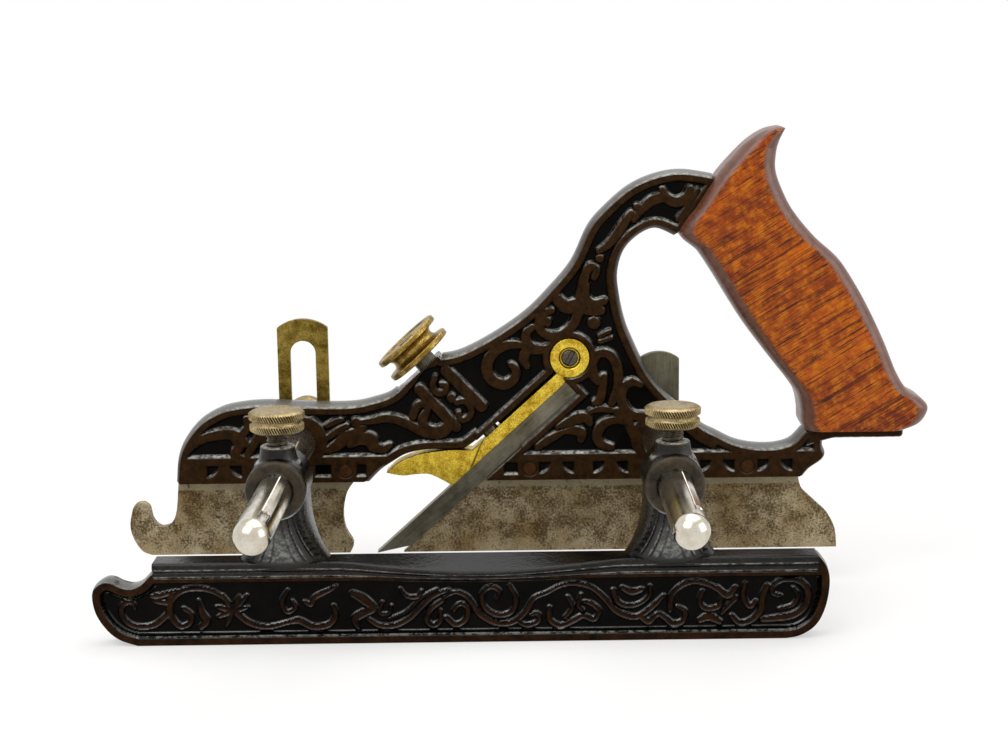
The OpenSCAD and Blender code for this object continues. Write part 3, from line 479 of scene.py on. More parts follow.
def make_tang():
    """Tang under the handle: rounded bars lofted along it, which widen out of the casting's end with a fillet
    below, and draw in at the far end."""
    rows, columns = 60, 40
    x = np.linspace(TANG_X0, TANG_X1, rows)
    flare = step_up(x, TANG_X0, TANG_X0 + 9)
    half = FACE - 0.3 + (TANG_W / 2 - FACE + 0.3) * flare
    low = TANG_TOP - TANG_T - 3.4 * (1 - step_up(x, TANG_X0 - 3, TANG_X0 + 11))
    end = np.sqrt(np.clip(1 - ((x - TANG_X1 + 2.4) / 2.4).clip(0) ** 2, 0.02, 1))
    centre = (low + TANG_TOP) / 2
    c = np.arange(columns) * TURN / columns
    y = (half * end)[:, None] * squared(np.cos(c), 0.3)
    z = centre[:, None] + ((TANG_TOP - low) / 2 * end)[:, None] * squared(np.sin(c), 0.3)
    points = np.stack([np.broadcast_to(x[:, None], y.shape), y, z], -1).reshape(-1, 3)
    faces = [grid_faces(rows, columns, wrap_columns=True)[:, ::-1]] + end_faces(rows, columns)
    return to_mesh("handle_tang", points, faces, 50, wear=np.full(len(points), 0.6),
        wall=np.zeros(len(points)))


def make_pivot_screw():
    """Round screw head in the lever's hub, with a wide driver slot."""
    low, high = node_box("lever_pivot_screw")
    centre = (low + high) / 2
    r = 2.9
    xs = centre[0] + np.arange(-3.3, 3.3, 0.11)
    zs = centre[2] + np.arange(-3.3, 3.3, 0.11)
    x, z = np.meshgrid(xs, zs, indexing="ij")
    lean = math.radians(SLOT_LEAN)
    aside = np.abs((x - centre[0]) * math.sin(lean) - (z - centre[2]) * math.cos(lean))
    from_centre = np.hypot(x - centre[0], z - centre[2])
    depth = 1.0 * (1 - step_up(aside, 0.6, 0.8)) + 0.3 * step_up(from_centre, r - 0.5, r)
    return carved_half("pivot_screw", r - from_centre, xs, zs, depth, np.zeros(x.shape), -low[1], low[1] + 3,
        np.zeros(x.shape), -1, rings=2)


def make_knob():
    """Clamp knob: a profile of arcs turned round the clamp's axis, with two flanges, a deep rounded waist
    and a top dished inside a bright rim."""
    h, waist, rim = KNOB_H, KNOB_R * 0.76, KNOB_H * 0.25
    axis = np.array([-math.sin(BED), 0, math.cos(BED)])
    on_bed = np.array([EDGE_X + CLAMP_U * math.cos(BED), 0, CLAMP_U * math.sin(BED)])
    turn = np.radians(np.linspace(-82, 82, 15))
    hollow = np.column_stack([waist + 1.6 - 2.6 * np.cos(turn), h / 2 + (h / 2 - rim) * np.sin(turn)])
    r = KNOB_R
    profile = np.vstack([[THREAD_R, 0], arc(r - 0.6, 0.6, 0.6, -90, 0, 6),
        arc(r - 0.5, rim - 0.5, 0.5, 0, 70, 5), hollow, arc(r - 0.5, h - rim + 0.5, 0.5, -70, 0, 5),
        arc(r - 0.7, h - 0.7, 0.7, 0, 90, 6), [r - 2.4, h - 0.05], [r - 2.9, h - 0.5], [4, h - 0.7]])
    return lathe("clamp_knob_turned", closed_profile(profile), 144, on_bed + axis * KNOB_LOW, axis)


def make_countersunk(name, x):
    """Flush countersunk head of a wood screw in the tang's underside: a cone and a shank, turned."""
    low = TANG_TOP - TANG_T - 0.06
    profile = [(3.8, low), (4, low + 0.3), (2.1, low + 2.2), (2.1, low + 14)]
    return lathe(name, closed_profile(profile), 48, (x, 0, 0))


def lathe(name, profile, around, centre=(0, 0, 0), axis=(0, 0, 1), shift=None):
    """Turned piece: a profile of radius and height carried round an axis. shift gives an added radius from
    the angle and the profile's place, and the ends of the profile lie on the axis or close on themselves."""
    p = np.asarray(profile, float)
    angle = np.arange(around) * TURN / around
    a, k = np.meshgrid(angle, np.arange(len(p)), indexing="ij")
    sunk = shift(a, p[k, 0], p[k, 1]) if shift else np.zeros(a.shape)
    r = (p[k, 0] + sunk)[..., None]
    h = p[k, 1][..., None]
    cos, sin = np.cos(a)[..., None], np.sin(a)[..., None]
    along = np.asarray(axis, float) / np.linalg.norm(axis)
    side = np.cross(along, (0, 1, 0) if abs(along[1]) < 0.9 else (1, 0, 0))
    side /= np.linalg.norm(side)
    other = np.cross(along, side)
    points = np.asarray(centre, float) + r * cos * side + r * sin * other + h * along
    faces = grid_faces(around, len(p), wrap_rows=True)
    # groove says how deep the shift sinks each point, and the brass paints shade into it
    return to_mesh(name, points.reshape(-1, 3), [faces[:, ::-1]],
        groove=np.clip(-sunk / KNURL_DEPTH, 0, 1).ravel())


def closed_profile(points):
    """Profile whose first and last point are drawn in to the axis, so that the turned piece is closed."""
    p = np.asarray(points, float)
    return np.vstack([[1e-4, p[0, 1]], p, [1e-4, p[-1, 1]]])


def arc(cx, cy, r, start, end, steps):
    """Places on a circle's arc, from one angle to the other, in degrees."""
    a = np.radians(np.linspace(start, end, steps))
    return np.column_stack([cx + r * np.cos(a), cy + r * np.sin(a)])


def knurl(low, high, reach):
    """Diagonal grooves between two heights, on what stands out at least to reach: the radius falls along a
    triangle wave of the angle and the height together."""
    def shift(a, r, h):
        band = step_up(h, low, low + 0.25) * (1 - step_up(h, high - 0.25, high)) * (r > reach)
        tooth = np.abs(((a * KNURLS / TURN + h * KNURL_LEAN) % 1) - 0.5) * 2
        return -KNURL_DEPTH * band * (1 - tooth)
    return shift


def flange(r, low, high, rows=12):
    """A knurled flange's profile, with small chamfers, fine enough for its grooves."""
    middle = np.column_stack([np.full(rows, r), np.linspace(low + 0.25, high - 0.25, rows)])
    return np.vstack([[r - 0.35, low], middle, [r - 0.35, high]])


def make_thumb_screw(name, x):
    """Thumb screw's head: a turned profile of two knurled flanges, an arc of a groove between them and a
    hollowed top."""
    low, high = THUMB_Z, THUMB_Z + THUMB_H
    split = low + THUMB_H * 0.5
    r = THUMB_R
    head = np.vstack([[THREAD_R, low], [r - 1.6, low + 0.1], flange(r - 0.25, low + 0.7, split - 0.7),
        arc(r - 0.1, split, 1.15, 230, 130, 7), flange(r, split + 0.75, high - 0.55),
        [r - 1.1, high - 0.1], [r - 2.2, high], [r * 0.45, high - 0.08]])
    lower = knurl(low + 0.6, split - 0.6, r - 0.6)
    upper = knurl(split + 0.6, high - 0.5, r - 0.4)
    return lathe(name, closed_profile(head), KNURLS * 8, (x, SCREW_Y, 0),
        shift=lambda a, q, h: lower(a, q, h) + upper(a, q, h))


def make_thread(name, x, y, r, low, high):
    """Threaded shank: the radius rises and falls once a pitch along the helix that the angle gives."""
    rows = int((high - low) / PITCH * 10)
    profile = np.column_stack([np.full(rows, r), np.linspace(low, high, rows)])
    def tooth(a, q, h):
        return -0.45 * np.abs(((h / PITCH - a / TURN) % 1) * 2 - 1) * (q > r - 0.1)
    return lathe(name, closed_profile(profile), 64, (x, y, 0), shift=tooth)


# Carving of the fence: thin strokes, drawn from the cutting edge, with z above the sole
FENCE_CARVING = [
    [(-65, -3, 1), (-69, -6.2, 1), (-74, -7, 0.9), (-78, -5.5, 0.9), (-80, -2, 0.9), (-79, 1, 0.9),
        (-76.5, 1.5, 0.8), (-75.5, -0.5, 0.6)],
    [(-70, 3.5, 0.7), (-66.5, 3.8, 0.9), (-61, 5.6, 0.4)],
    [(-69, 1.8, 0.6), (-64.6, 1.4, 1), (-63.4, 4, 0.8)],
    [(-46, 2.5, 0.6), (-50, 5, 0.8), (-55, 6, 0.9), (-60, 5, 0.9), (-63.5, 1.5, 1), (-63.8, -3, 1.1),
        (-61, -6.8, 1), (-57.5, -5.8, 0.8), (-57, -2.8, 0.7), (-59.5, -0.8, 0.7)],
    [(-54.5, 2, 0.4), (-53.6, -2, 1), (-52, -5, 1.2), (-54, -7.3, 0.9)],
    [(-42, -2.5, 1.1), (-38, -6, 1), (-32, -7.5, 0.9), (-25, -6, 0.8), (-21.5, -5.5, 1.1),
        (-17, -7.6, 1.1), (-12, -7, 1), (-9.5, -4, 0.9), (-10, -0.6, 0.7)],
    [(-9, 6, 0.5), (-12, 4.5, 0.8), (-16, 2.5, 0.9), (-17.5, 0, 0.8), (-19.5, 1, 0.6)],
    [(-25, 5, 0.5), (-27, 1, 0.8), (-25.5, -2.5, 0.7), (-22.5, -1, 0.6), (-23.5, 1.4, 0.5)],
    [(-3.5, 3.5, 1.2), (0, 1.5, 1.6), (3, -1.5, 1.2), (0, -3, 1.4), (-3, -5, 1.3), (-2, -8, 0.7)],
    [(1, -5, 0.6), (5, -7.5, 0.8), (10, -7.5, 0.9), (15, -5, 0.9), (19, -1, 0.9), (23, 2.5, 0.8),
        (28, 4.5, 0.5)],
    [(8, -5.2, 0.4), (14, -2.6, 0.5), (19, 2, 0.5), (24, 4.8, 0.4)],
    [(6, 0.5, 0.5), (5, -3, 0.6), (8, -3.4, 0.5), (9, -0.6, 0.4)],
    [(12, 5, 0.5), (14, 2.5, 0.7), (17.5, 2.2, 0.7), (19, 4.4, 0.4)],
    [(26, 1, 0.7), (22, -2, 0.9), (20.5, -5.5, 0.9), (22.5, -7.6, 0.9), (25, -6, 0.8), (25, -2.6, 0.6)],
    [(27, -5, 0.8), (30, -7.5, 0.9), (33.5, -5.5, 0.9), (34, -1.8, 0.8), (31.5, -0.4, 0.7),
        (29.5, -2.5, 0.6)],
    [(26.5, 2, 0.5), (30, 3.6, 0.7), (33.5, 2.4, 0.8), (35.5, 0, 0.8), (38, -4, 0.9), (43, -6.9, 1),
        (48.5, -7, 0.9), (53, -3.5, 0.9), (56, 1.2, 0.8), (60, 3, 0.7), (65, 5.5, 0.7), (70, 6, 0.8),
        (75, 4.5, 0.8), (79, 1, 0.9), (83, -3.5, 1), (88, -5.6, 1), (91, -5, 0.9), (95, -2, 0.9),
        (98.5, 1.6, 0.6)],
    [(48, 5.5, 0.7), (50, 1, 0.8), (48.5, -3.3, 0.8), (44, -4.4, 0.9), (39.8, -1.8, 0.8),
        (38.8, 2.5, 0.8), (41.5, 5.3, 0.8), (44.5, 3.8, 0.7), (43.5, 1.2, 0.5)],
    [(50, -6.2, 0.7), (53.5, -8, 0.8), (57.3, -6.5, 0.8), (57, -4, 0.7), (54.5, -4.5, 0.5)],
    [(61, -2, 0.7), (61, -6, 0.9), (64.5, -8.2, 0.9), (69, -6.5, 0.9), (72, -5, 0.9), (75.5, -6.2, 0.9),
        (77.3, -3.5, 0.8), (75, -1, 0.8), (72, 0, 0.5)],
    [(66, -5.4, 0.6), (68.5, -2, 0.7), (67, 1.6, 0.6)],
    [(71.4, 2.4, 0.5), (70.4, -1.2, 0.7), (72, -3, 0.5)],
    [(82, 3.6, 0.8), (83.5, -0.3, 0.8), (87, -1.8, 0.8), (91, -0.8, 0.7), (94, 2, 0.7), (94, 5, 0.5)],
    [(85, 4.4, 0.8), (88, 3, 1.1), (91.4, 3.8, 0.8)],
    [(91, -5.4, 0.9), (93.6, -7.2, 1), (96.5, -4.8, 0.8), (98.6, -5.6, 0.9), (101.5, -8, 1),
        (105, -7, 0.9), (105.5, -3.6, 0.7), (103, -2.2, 0.5)],
    [(100.6, -3.4, 0.8), (101.2, 1.5, 0.9), (104.5, 5, 0.9), (109, 6.2, 0.9), (113.5, 5, 0.8),
        (116, 3.5, 0.8)],
    [(111.2, 2.8, 0.7), (110.3, -0.5, 0.8), (112.5, -3, 0.9), (116.5, -2.4, 0.8), (117.4, 0.4, 0.6)],
    [(110.5, -7, 0.9), (113.5, -5.8, 1.4), (117, -7.6, 0.9)],
    [(116, 4, 1), (119.5, 1.4, 1.1), (122, 4, 0.8)],
    [(122, 0.4, 1), (120, -2, 0.8), (117.6, -4.6, 0.6)],
    [(125.2, 5.5, 0.6), (124.6, 1.2, 0.8), (126.8, -2.4, 0.9), (128.8, -0.6, 0.6)],
    [(121, -5.6, 0.8), (123.5, -8, 0.9), (127.5, -7, 1), (130.5, -3.5, 1), (131, 1, 1), (132.5, 4.6, 0.8)],
    [(131, -7, 0.8), (135.5, -6.6, 1.1), (141, -5.6, 1.2), (145, -2.5, 1.1), (145.8, 2.5, 1.1),
        (143, 6, 1), (138, 6.6, 0.9), (134.6, 4.6, 0.8), (134.4, 2, 0.7), (137, 1, 0.6)],
    [(136.5, -3.4, 0.5), (141, -2, 0.6), (142.6, 1.2, 0.6), (141, 3.8, 0.5)],
]
FLOWER = (-43.2, -1.8)
PETALS = ((-48.6, -0.4), (-48.2, -3.8), (-45.6, -6.8), (-46.4, 3.6), (-41, 3.2), (-38.4, 3.4), (-38.2, -0.6))


def fence_place(p):
    """A point of the fence's carving at its real X and Z."""
    return np.array([EDGE_X + p[0], p[1]])


FENCE_HOOK = [(-69, 11.4), (-70.1, 10.5), (-73.1, 7.6), (-76.6, 6.3), (-80.1, 7), (-82.9, 8.4),
    (-85.6, 8.5), (-88.5, 6.4), (-89.2, 3.2), (-88.1, -2.2), (-84.9, -7.4), (-80.8, -10.9), (-74.9, -13)]
FENCE_HEEL = [(138.7, -13), (143.6, -12), (148.6, -8.5), (151.6, -2.4), (152.8, 5.5), (151.8, 11),
    (149, 15)]


def make_fence_panel():
    """The fence's carved front and plain back, each the sheet where the outline's distance is positive, kept
    within the CAD fence's toe and lower edge."""
    xs = np.arange(EDGE_X - 92, EDGE_X + 156, CELL)
    zs = np.arange(FENCE_LOW - 2, FENCE_TOP + 2, CELL)
    x, z = np.meshgrid(xs, zs, indexing="ij")
    outline = np.vstack([smooth(FENCE_HOOK, 6), smooth(FENCE_HEEL, 6), [(-69, 15)]]) + [EDGE_X, 0]
    from_edge = distance_to_outline(outline, x, z)
    under_ledge = (x > LEDGE_X0) & (x < LEDGE_X1)
    room = np.where(under_ledge, np.minimum(from_edge, LEDGE_FOOT + 1 - z), from_edge)
    inside = np.minimum(from_edge - 2.4, LEDGE_FOOT - 0.2 - z)
    half_way = [tuple((np.array(FLOWER) + tip) / 2) for tip in PETALS]
    petals = [[FLOWER + (0.4,), mid + (0.9,), tip + (0.5,)] for mid, tip in zip(half_way, PETALS)]
    strokes = stroke_height(FENCE_CARVING + petals, xs, zs, fence_place, 0.15)
    ground = step_up(inside, 0, 0.6) * (1 - step_up(strokes, -0.3, 0.2) * 0.55)
    hollow = 0.45 * step_up(strokes, 0.25, 0.7) * step_up(inside, 0.4, 1)
    bead = np.exp(-((inside - 1.3) / 0.28) ** 2)
    depth = 1.5 * ground + hollow - 0.7 * bead * step_up(room, 2.6, 3)
    wear = np.where(inside < 0, 0.9, 0.1 + 0.75 * step_up(strokes, 0.2, 0.7) * step_up(inside, 1.2, 2))
    swell = 0.5 * step_up(room, -1, 0)
    middle = (FENCE_FRONT + 1 + FENCE_FACE) / 2
    half = (FENCE_FACE - FENCE_FRONT - 1) / 2
    pieces = []
    for name, side, sunk in (("fence_front", -1, depth), ("fence_back", 1, np.zeros_like(depth))):
        piece = carved_half(name, room, xs, zs, sunk, wear, half, 0.0, swell, side, rings=5)
        places = np.zeros(len(piece.data.vertices) * 3)
        piece.data.vertices.foreach_get("co", places)
        places[1::3] += middle * MM
        places[0::3] = np.maximum(places[0::3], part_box("fence_casting")[0][0])
        places[2::3] = np.maximum(places[2::3], FENCE_LOW * MM)
        piece.data.vertices.foreach_set("co", places)
        pieces.append(piece)
    return pieces


def dip(x):
    """How far the ledge has sunk at x, from 0 at the pedestals to 1 half way between them: a parabola,
    raised to a power that eases its ends."""
    return np.clip(1 - ((x - DIP_X) / DIP_REACH) ** 2, 0, 1) ** 1.4


# The ledge's section: how far behind the panel's front, and its share of the height
LEDGE_STEPS = [(3, 1.0), (1.2, 0.99), (0.5, 0.95), (0.2, 0.86), (0.2, 0.72), (0.5, 0.64), (1.1, 0.6),
    (1.3, 0.52), (0.9, 0.44), (0.9, 0.3), (1.4, 0.22), (1.9, 0.16), (1.5, 0.06), (2, 0)]
LEDGE = [(FENCE_FACE, 1.0), (FENCE_FACE - 3, 1.0)]
LEDGE += [(FENCE_FRONT + back, share) for back, share in LEDGE_STEPS] + [(FENCE_FACE, 0)]


def make_ledge():
    """Moulded ledge: the section's steps carried along the fence. Between the pedestals its foot dips a
    little, and its top slopes down to a front edge that dips more."""
    x = np.linspace(LEDGE_X0, LEDGE_X1, 260)
    section = smooth(LEDGE, 3)
    forward = np.clip((section[:, 0] - FENCE_FACE) / (FENCE_FRONT - FENCE_FACE), 0, 1)
    top = FENCE_TOP - 4.2 * dip(x)[:, None] * forward[None, :]
    foot = LEDGE_FOOT - 1.2 * dip(x)[:, None]
    y = np.broadcast_to(section[:, 0], (len(x), len(section)))
    z = foot + (top - foot) * section[None, :, 1]
    points = np.stack([np.broadcast_to(x[:, None], y.shape), y, z], -1).reshape(-1, 3)
    faces = [grid_faces(len(x), len(section), wrap_columns=True)[:, ::-1]] + end_faces(len(x), len(section))
    worn = np.interp(section[:, 1], (0, 0.55, 0.9, 1), (0.5, 0.15, 0.3, 0.1))
    worn = np.broadcast_to(worn, y.shape).ravel()
    return to_mesh("fence_ledge", points, faces, 35, wear=worn, wall=np.zeros(len(points)))


# A pedestal's half width, and the place of its front, from its foot at 0 to the boss at 1
FLARE = [(0, 16.8), (0.07, 15.2), (0.18, 13), (0.36, 10.8), (0.58, 9.3), (0.8, 8.9), (1, 8.8)]
FALL = [(0, FENCE_FRONT + 0.3), (0.1, FENCE_FRONT - 0.6), (0.3, FENCE_FRONT - 4.4),
    (0.55, FENCE_FRONT - 8.6), (0.8, FENCE_FRONT - 10.6), (1, FENCE_FRONT - 11)]


def make_pedestal(name, x0):
    """Pedestal from the ledge to a boss: half ellipses whose width and reach follow two curves, with
    engraved nested leaves and a row of barbs down each side."""
    rows, columns = 110, 150
    v = np.linspace(0, 1, rows)
    flare, fall = smooth(FLARE, 8), smooth(FALL, 8)
    wide = np.interp(v, flare[:, 0], flare[:, 1])
    front = np.interp(v, fall[:, 0], fall[:, 1])
    foot = FENCE_TOP - 2.6
    phi = np.linspace(0, math.pi, columns)
    a = squared(np.cos(phi), 0.72)
    deep = squared(np.sin(phi), 0.72)
    vv, aa = np.meshgrid(v, a, indexing="ij")
    leaf = np.abs(aa) + 0.35 * vv
    lines = np.maximum.reduce([np.exp(-((leaf - c) / 0.022) ** 2) for c in (0.34, 0.56, 0.78)])
    barbs = np.exp(-((leaf - 0.9) / 0.07) ** 2) * (np.cos(TURN * 13 * vv) > 0.1)
    carve = np.clip(lines + 0.8 * barbs, 0, 1) * step_up(vv, 0.08, 0.16) * (1 - step_up(vv, 0.66, 0.76))
    x = x0 + wide[:, None] * a[None, :]
    reach = (FENCE_FACE - front)[:, None] * deep[None, :]
    y = FENCE_FACE - reach + 0.4 * carve
    z = np.broadcast_to((foot + (ROD_Z - foot) * v)[:, None], x.shape)
    points = np.stack([x, y, z], -1).reshape(-1, 3)
    worn = np.clip(0.25 - 0.25 * carve, 0, 1).ravel()
    return to_mesh(name, points, [grid_faces(rows, columns)], 50, wear=worn, wall=np.zeros(len(points)))


def make_boss(name, x):
    """Bored boss: a closed profile turned round the rod, with a rounded front lip, a groove behind it and a
    plain barrel."""
    front = -BOSS_FRONT
    back = -FENCE_FACE
    lip = arc(BOSS_R - 1.3, front - 1.3, 1.3, 90, -30, 8)
    profile = np.vstack([[ROD_R + 0.05, back], [ROD_R + 0.05, front - 0.5], [ROD_R + 0.5, front - 0.05],
        [ROD_R + 1.4, front], [BOSS_R - 2.2, front - 0.05], lip, [BOSS_R - 0.7, front - 2.9],
        [BOSS_R - 0.55, front - 3.3], [BOSS_R - 0.1, front - 4], [BOSS_R, front - 5], [BOSS_R, back],
        [ROD_R + 0.05, back]])
    piece = lathe(name, profile, 96, (x, 0, ROD_Z), (0, -1, 0))
    # Wear along the profile, most on the front lip, whose grey brown also stands in for painted sheen
    worn = np.tile(np.interp(np.arange(len(profile)), (0, 3, 8, 12, 17), (0.2, 0.5, 0.75, 0.3, 0.15)), 96)
    mark(piece, wear=worn, wall=np.zeros(len(worn)))
    return piece


def make_neck(name, x):
    """Neck that carries the thumb screw: a smooth curve turned round the screw, flared at the barrel, with a
    worn top ring."""
    flare = smooth([(8.4, ROD_Z + 3.5), (7.6, ROD_Z + 6.8), (6.3, ROD_Z + 8.6), (5.6, NECK_TOP - 1)], 6)
    profile = np.vstack([flare, arc(5, NECK_TOP - 0.6, 0.6, 0, 90, 5), [[THREAD_R, NECK_TOP]],
        [[THREAD_R, ROD_Z + 3.5]], flare[:1]])
    piece = lathe(name, profile, 72, (x, SCREW_Y, 0))
    worn = np.interp(profile[:, 1], (ROD_Z + 4, NECK_TOP - 1, NECK_TOP), (0.2, 0.3, 0.8))
    worn = np.tile(worn, 72)
    mark(piece, wear=worn, wall=np.zeros(len(worn)))
    return piece


def mark(piece, **attributes):
    """Adds per-point attributes to a finished piece."""
    for key, values in attributes.items():
        layer = piece.data.attributes.new(key, "FLOAT", "POINT")
        layer.data.foreach_set("value", np.asarray(values, np.float32))


# Handle: its inner and outer edge, from the heel to the horn
INNER_EDGE = [(153.2, 43.2), (151.9, 46), (151.6, 50.5), (150.3, 56), (147, 61), (143, 66),
    (137.3, 73.4), (131.7, 81), (126.2, 89.6), (120.6, 98.8), (115, 107.1), (108.6, 113.8),
    (114.8, 123.4), (121, 132.9), (125.9, 138.9), (131.9, 144.9), (138.2, 148.8), (143.6, 150)]
OUTER_EDGE = [(189, 43.2), (194.2, 45.6), (196.7, 50.4), (194.2, 54), (189.4, 57), (185.4, 63),
    (180.8, 74), (175.8, 84.6), (170.5, 94.3), (164, 104), (155.4, 112), (148, 121), (143.8, 129),
    (141.8, 135.2), (142, 140.4), (143, 144.7), (144.3, 147.8), (145.1, 149.3)]
HANDLE_T, HANDLE_R = 23.0, 6.5


def make_handle():
    """Handle: rounded bars lofted from its inner to its outer edge, thinner towards the horn. round says how
    far a place lies on the rounded edge."""
    inner = np.array([place(p) for p in smooth(INNER_EDGE, 9)])
    outer = np.array([place(p) for p in smooth(OUTER_EDGE, 9)])
    rings, around = len(inner), 72
    k = np.linspace(0, len(INNER_EDGE) - 1, rings)
    across = outer - inner
    half = np.linalg.norm(across, axis=1) / 2
    thick = HANDLE_T / 2 * np.where(k < 12, 1, 1 - 0.5 * ((k - 12) / 5) ** 2)
    r = least(HANDLE_R, half * 0.98, thick * 0.98)
    quarter = around // 4
    corner = np.radians(90 * np.arange(quarter) / (quarter - 1))
    c = np.concatenate([corner + q * math.pi / 2 for q in range(4)])
    sx = np.repeat([1, -1, -1, 1], quarter)
    sy = np.repeat([1, 1, -1, -1], quarter)
    a = sx * (half - r)[:, None] + r[:, None] * np.cos(c)
    b = sy * (thick - r)[:, None] + r[:, None] * np.sin(c)
    middle = (inner + outer) / 2
    along = across / (2 * half)[:, None]
    x = middle[:, 0:1] + along[:, 0:1] * a
    z = middle[:, 1:2] + along[:, 1:2] * a
    points = np.stack([x, b, z], -1).reshape(-1, 3)
    faces = [grid_faces(rings, around, wrap_columns=True)] + [f[:, ::-1] for f in end_faces(rings, around)]
    rounding = np.tile(1 - np.abs(np.sin(c)), (rings, 1)).ravel()
    return to_mesh("handle_wood", points, faces, 60, rounding=rounding)


# Materials
def linear(colour):
    """Linear red, green, blue and alpha of an sRGB hex colour."""
    parts = [int(colour[k:k + 2], 16) / 255 for k in (1, 3, 5)]
    return [c / 12.92 if c <= 0.04045 else ((c + 0.055) / 1.055) ** 2.4 for c in parts] + [1.0]


def per_mm(size):
    """Scale of a pattern whose features are about size millimetres wide, on coordinates in metres."""
    return 1000.0 / size


def add_node(tree, kind, values=(), out=0, **named):
    """Adds a shader node and gives one of its outputs, or all of them where out is None. values are its
    first inputs in order. A name that starts with a capital is an input, with _ for each space, and any
    other name is a setting. A value that comes from another node is linked."""
    made = tree.nodes.new("ShaderNode" + kind)
    inputs = dict(enumerate(values))
    for name, value in named.items():
        if name[0].isupper():
            inputs[name.replace("_", " ")] = value
        else:
            setattr(made, name, value)
    for name, value in inputs.items():
        if isinstance(value, bpy.types.NodeSocket):
            tree.links.new(value, made.inputs[name])
        else:
            made.inputs[name].default_value = value
    if out is None:
        return made.outputs
    return made.outputs[out] if len(made.outputs) else None


def new_material(name):
    """An empty material, its own function for adding nodes, and the place on the piece."""
    made = bpy.data.materials.new(name)
    made.use_nodes = True
    made.node_tree.nodes.clear()
    add = partial(add_node, made.node_tree)
    return made, add, add("TexCoord", out="Object")


def make_japan(name, worn_colour, worn_dark, rub, glint_share=1.0, gloss=0.04, skin=0.12, fixed_wear=None):
    """Japanned cast iron: thick black asphalt varnish, worn to dark reddish brown on the flats that hands
    and wood touch. Broken pale glints on the slopes that face up are painted highlights, and the walls get an
    even painted reflection. It reads as deep black relief with brown tops and light upper edges."""
    made, add, where = new_material(name)
    wear = add("Attribute", attribute_name="wear", out="Fac") if fixed_wear is None else fixed_wear
    up = add("Attribute", attribute_name="up", out="Fac")
    wall = add("Attribute", attribute_name="wall", out="Fac")
    patches = add("TexNoise", Vector=where, Scale=per_mm(9), Detail=5, Roughness=0.65)
    clouds = add("TexNoise", Vector=where, Scale=per_mm(3), Detail=4, Roughness=0.7)
    flecks = add("TexNoise", Vector=where, Scale=per_mm(2.2), Detail=3, Roughness=0.7)
    lumps = add("TexNoise", Vector=where, Scale=per_mm(1.6), Detail=5, Roughness=0.6)
    grain = add("TexNoise", Vector=where, Scale=per_mm(0.9), Detail=3, Roughness=0.6)
    # How far the varnish is worn through, and the brown and the black that this mixes
    wear_and_edge_shade = add("Math", (add("MapRange", (patches, 0.3, 0.6, rub, 1.15)), wear), operation="MULTIPLY")
    wear_and_edge_shade = add("Math", (wear_and_edge_shade, add("Math", (grain, 0.35), operation="MULTIPLY")))
    broken = add("MapRange", (wear_and_edge_shade, 0.35, 0.85))
    brown = add("MixRGB", (add("MapRange", (clouds, 0.3, 0.7)), linear(worn_dark), linear(worn_colour)))
    black = add("MixRGB", (add("MapRange", (patches, 0.35, 0.75)), linear("#030303"), linear("#0e0b07")))
    varnish = add("MixRGB", (broken, black, brown))
    # Painted highlights: pale glints on what faces up, broken on the relief, and an even painted reflection
    # on the walls
    glint = add("MapRange", (flecks, 0.42, 0.6, 0.08, 1.0))
    glint = add("Mix", Factor=wall, A=glint, B=0.12)
    painted_glint = add("Math", (add("MapRange", (up, 0.4, 0.9)), glint), operation="MULTIPLY")
    painted_glint = add("Math", (painted_glint, glint_share), operation="MULTIPLY")
    # Painted highlight and painted reflection: the pale colour laid over the varnish where it faces up
    colour = add("MixRGB", (painted_glint, varnish, linear("#d3d5cc")))
    dulled = add("Math", (broken, add("Math", (grain, 0.3), operation="MULTIPLY")))
    # The cast skin shows on the flats and slopes, and the walls are smooth
    flats = add("Math", (1.0, wall), operation="SUBTRACT")
    lumpy = add("Math", (lumps, flats), operation="MULTIPLY")
    grainy = add("Math", (grain, flats), operation="MULTIPLY")
    cast = add("Bump", Height=lumpy, Distance=skin * MM, Strength=0.6)
    surface = add("BsdfPrincipled", Base_Color=colour, Roughness=add("MapRange", (dulled, 0, 1.2, 0.2, 0.45)),
        Specular_IOR_Level=add("MapRange", (up, 0.15, 0.6, gloss, 0.7)),
        Normal=add("Bump", Height=grainy, Distance=0.04 * MM, Strength=0.6, Normal=cast))
    add("OutputMaterial", Surface=surface)
    return made


